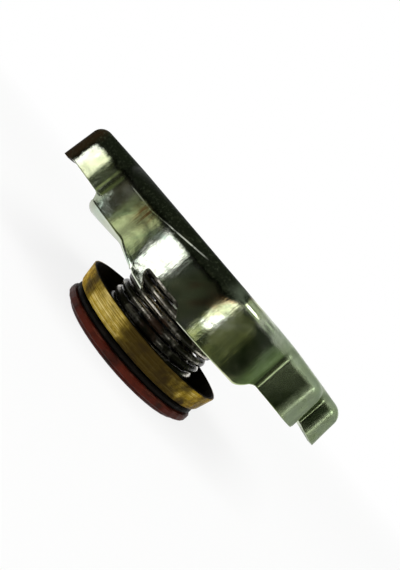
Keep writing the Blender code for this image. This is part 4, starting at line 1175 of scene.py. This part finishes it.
def add_stage():
    """A sheet of white paper: short on the camera's side, bent up behind the cap."""
    start = PAPER_BACK - PAPER_BEND
    profile = [(-PAPER_FRONT, 0.0), (start, 0.0)]
    for step in range(1, PAPER_BEND_STEPS + 1):
        turn = math.radians(90.0 * step / PAPER_BEND_STEPS)
        height = PAPER_BEND * (1.0 - math.cos(turn))
        profile.append((start + PAPER_BEND * math.sin(turn), height))
    profile.append((PAPER_BACK, PAPER_TOP))
    verts = [(x, y, z) for y, z in profile for x in (-PAPER_HALF_WIDTH, PAPER_HALF_WIDTH)]
    faces = [(2 * i, 2 * i + 1, 2 * i + 3, 2 * i + 2) for i in range(len(profile) - 1)]
    mesh = bpy.data.meshes.new("floor")
    mesh.from_pydata(verts, [], faces)
    mesh.shade_smooth()
    mesh.materials.append(paper())
    floor = new_object("floor", mesh)
    floor.rotation_euler.z = math.radians(VIEW_SIDE_DEG)


def add_world():
    """A workshop's dim room: dark in front, olive at the left, pale green right and above."""
    world = bpy.data.worlds.new("room")
    world.use_nodes = True
    g = Graph(world.node_tree, "Generated")
    side = math.radians(VIEW_SIDE_DEG)
    ahead = g.against("DOT_PRODUCT", (math.sin(side), -math.cos(side), 0.0))
    right = g.against("DOT_PRODUCT", (math.cos(side), math.sin(side), 0.0))
    rise = g.against("DOT_PRODUCT", (0.0, 0.0, 1.0))
    azimuth = g.math("DEGREES", g.math("ARCTAN2", right, ahead))
    left = g.mix(g.steps(rise, *LEFT_LOW_RISE), ROOM_LEFT, ROOM_LEFT_LOW)
    left = g.mix(g.steps(azimuth, *FAR_LEFT_DEG), left, ROOM_FAR_LEFT)
    colour = g.mix(g.steps(azimuth, *LEFT_DEG), ROOM_FRONT, left)
    colour = g.mix(g.steps(azimuth, *RIGHT_DEG), colour, ROOM_RIGHT)
    lit = g.times(g.band(azimuth, *LOW_LIGHT_DEG), g.steps(rise, *LOW_LIGHT_RISE))
    colour = g.mix(lit, colour, ROOM_LOW_LIGHT)
    things = g.steps(g.noise(9.0, 3.0, 0.5, distortion=0.4), 0.40, 0.58, 0.15, 1.0)
    bench = g.times(g.band(azimuth, *BENCH_DEG), things, g.steps(rise, *BENCH_RISE))
    colour = g.mix(bench, colour, ROOM_BENCH)
    above = g.mix(g.steps(right, *ABOVE_SIDE), ROOM_ABOVE_LEFT, ROOM_ABOVE_RIGHT)
    colour = g.mix(g.steps(rise, *ABOVE_RISE), colour, above)
    colour = g.mix(g.steps(rise, *BELOW_RISE), colour, ROOM_BELOW)
    clutter = g.steps(g.noise(3.2, 3.0, 0.5, distortion=0.6), 0.36, 0.64, 0.35, 1.45)
    g.feed(g.tree.nodes["Background"].inputs["Color"], colour)
    g.feed(g.tree.nodes["Background"].inputs["Strength"], clutter)
    bpy.context.scene.world = world


bpy.context.scene.view_settings.view_transform = "Standard"
add_camera()
dress_nodes()
add_cover()
for coil, choices in COILS.items():
    add_coil(coil, **choices)
add_world()
add_stage()
for lamp_name, choices in SOFTBOXES.items():
    add_softbox(lamp_name, **choices)
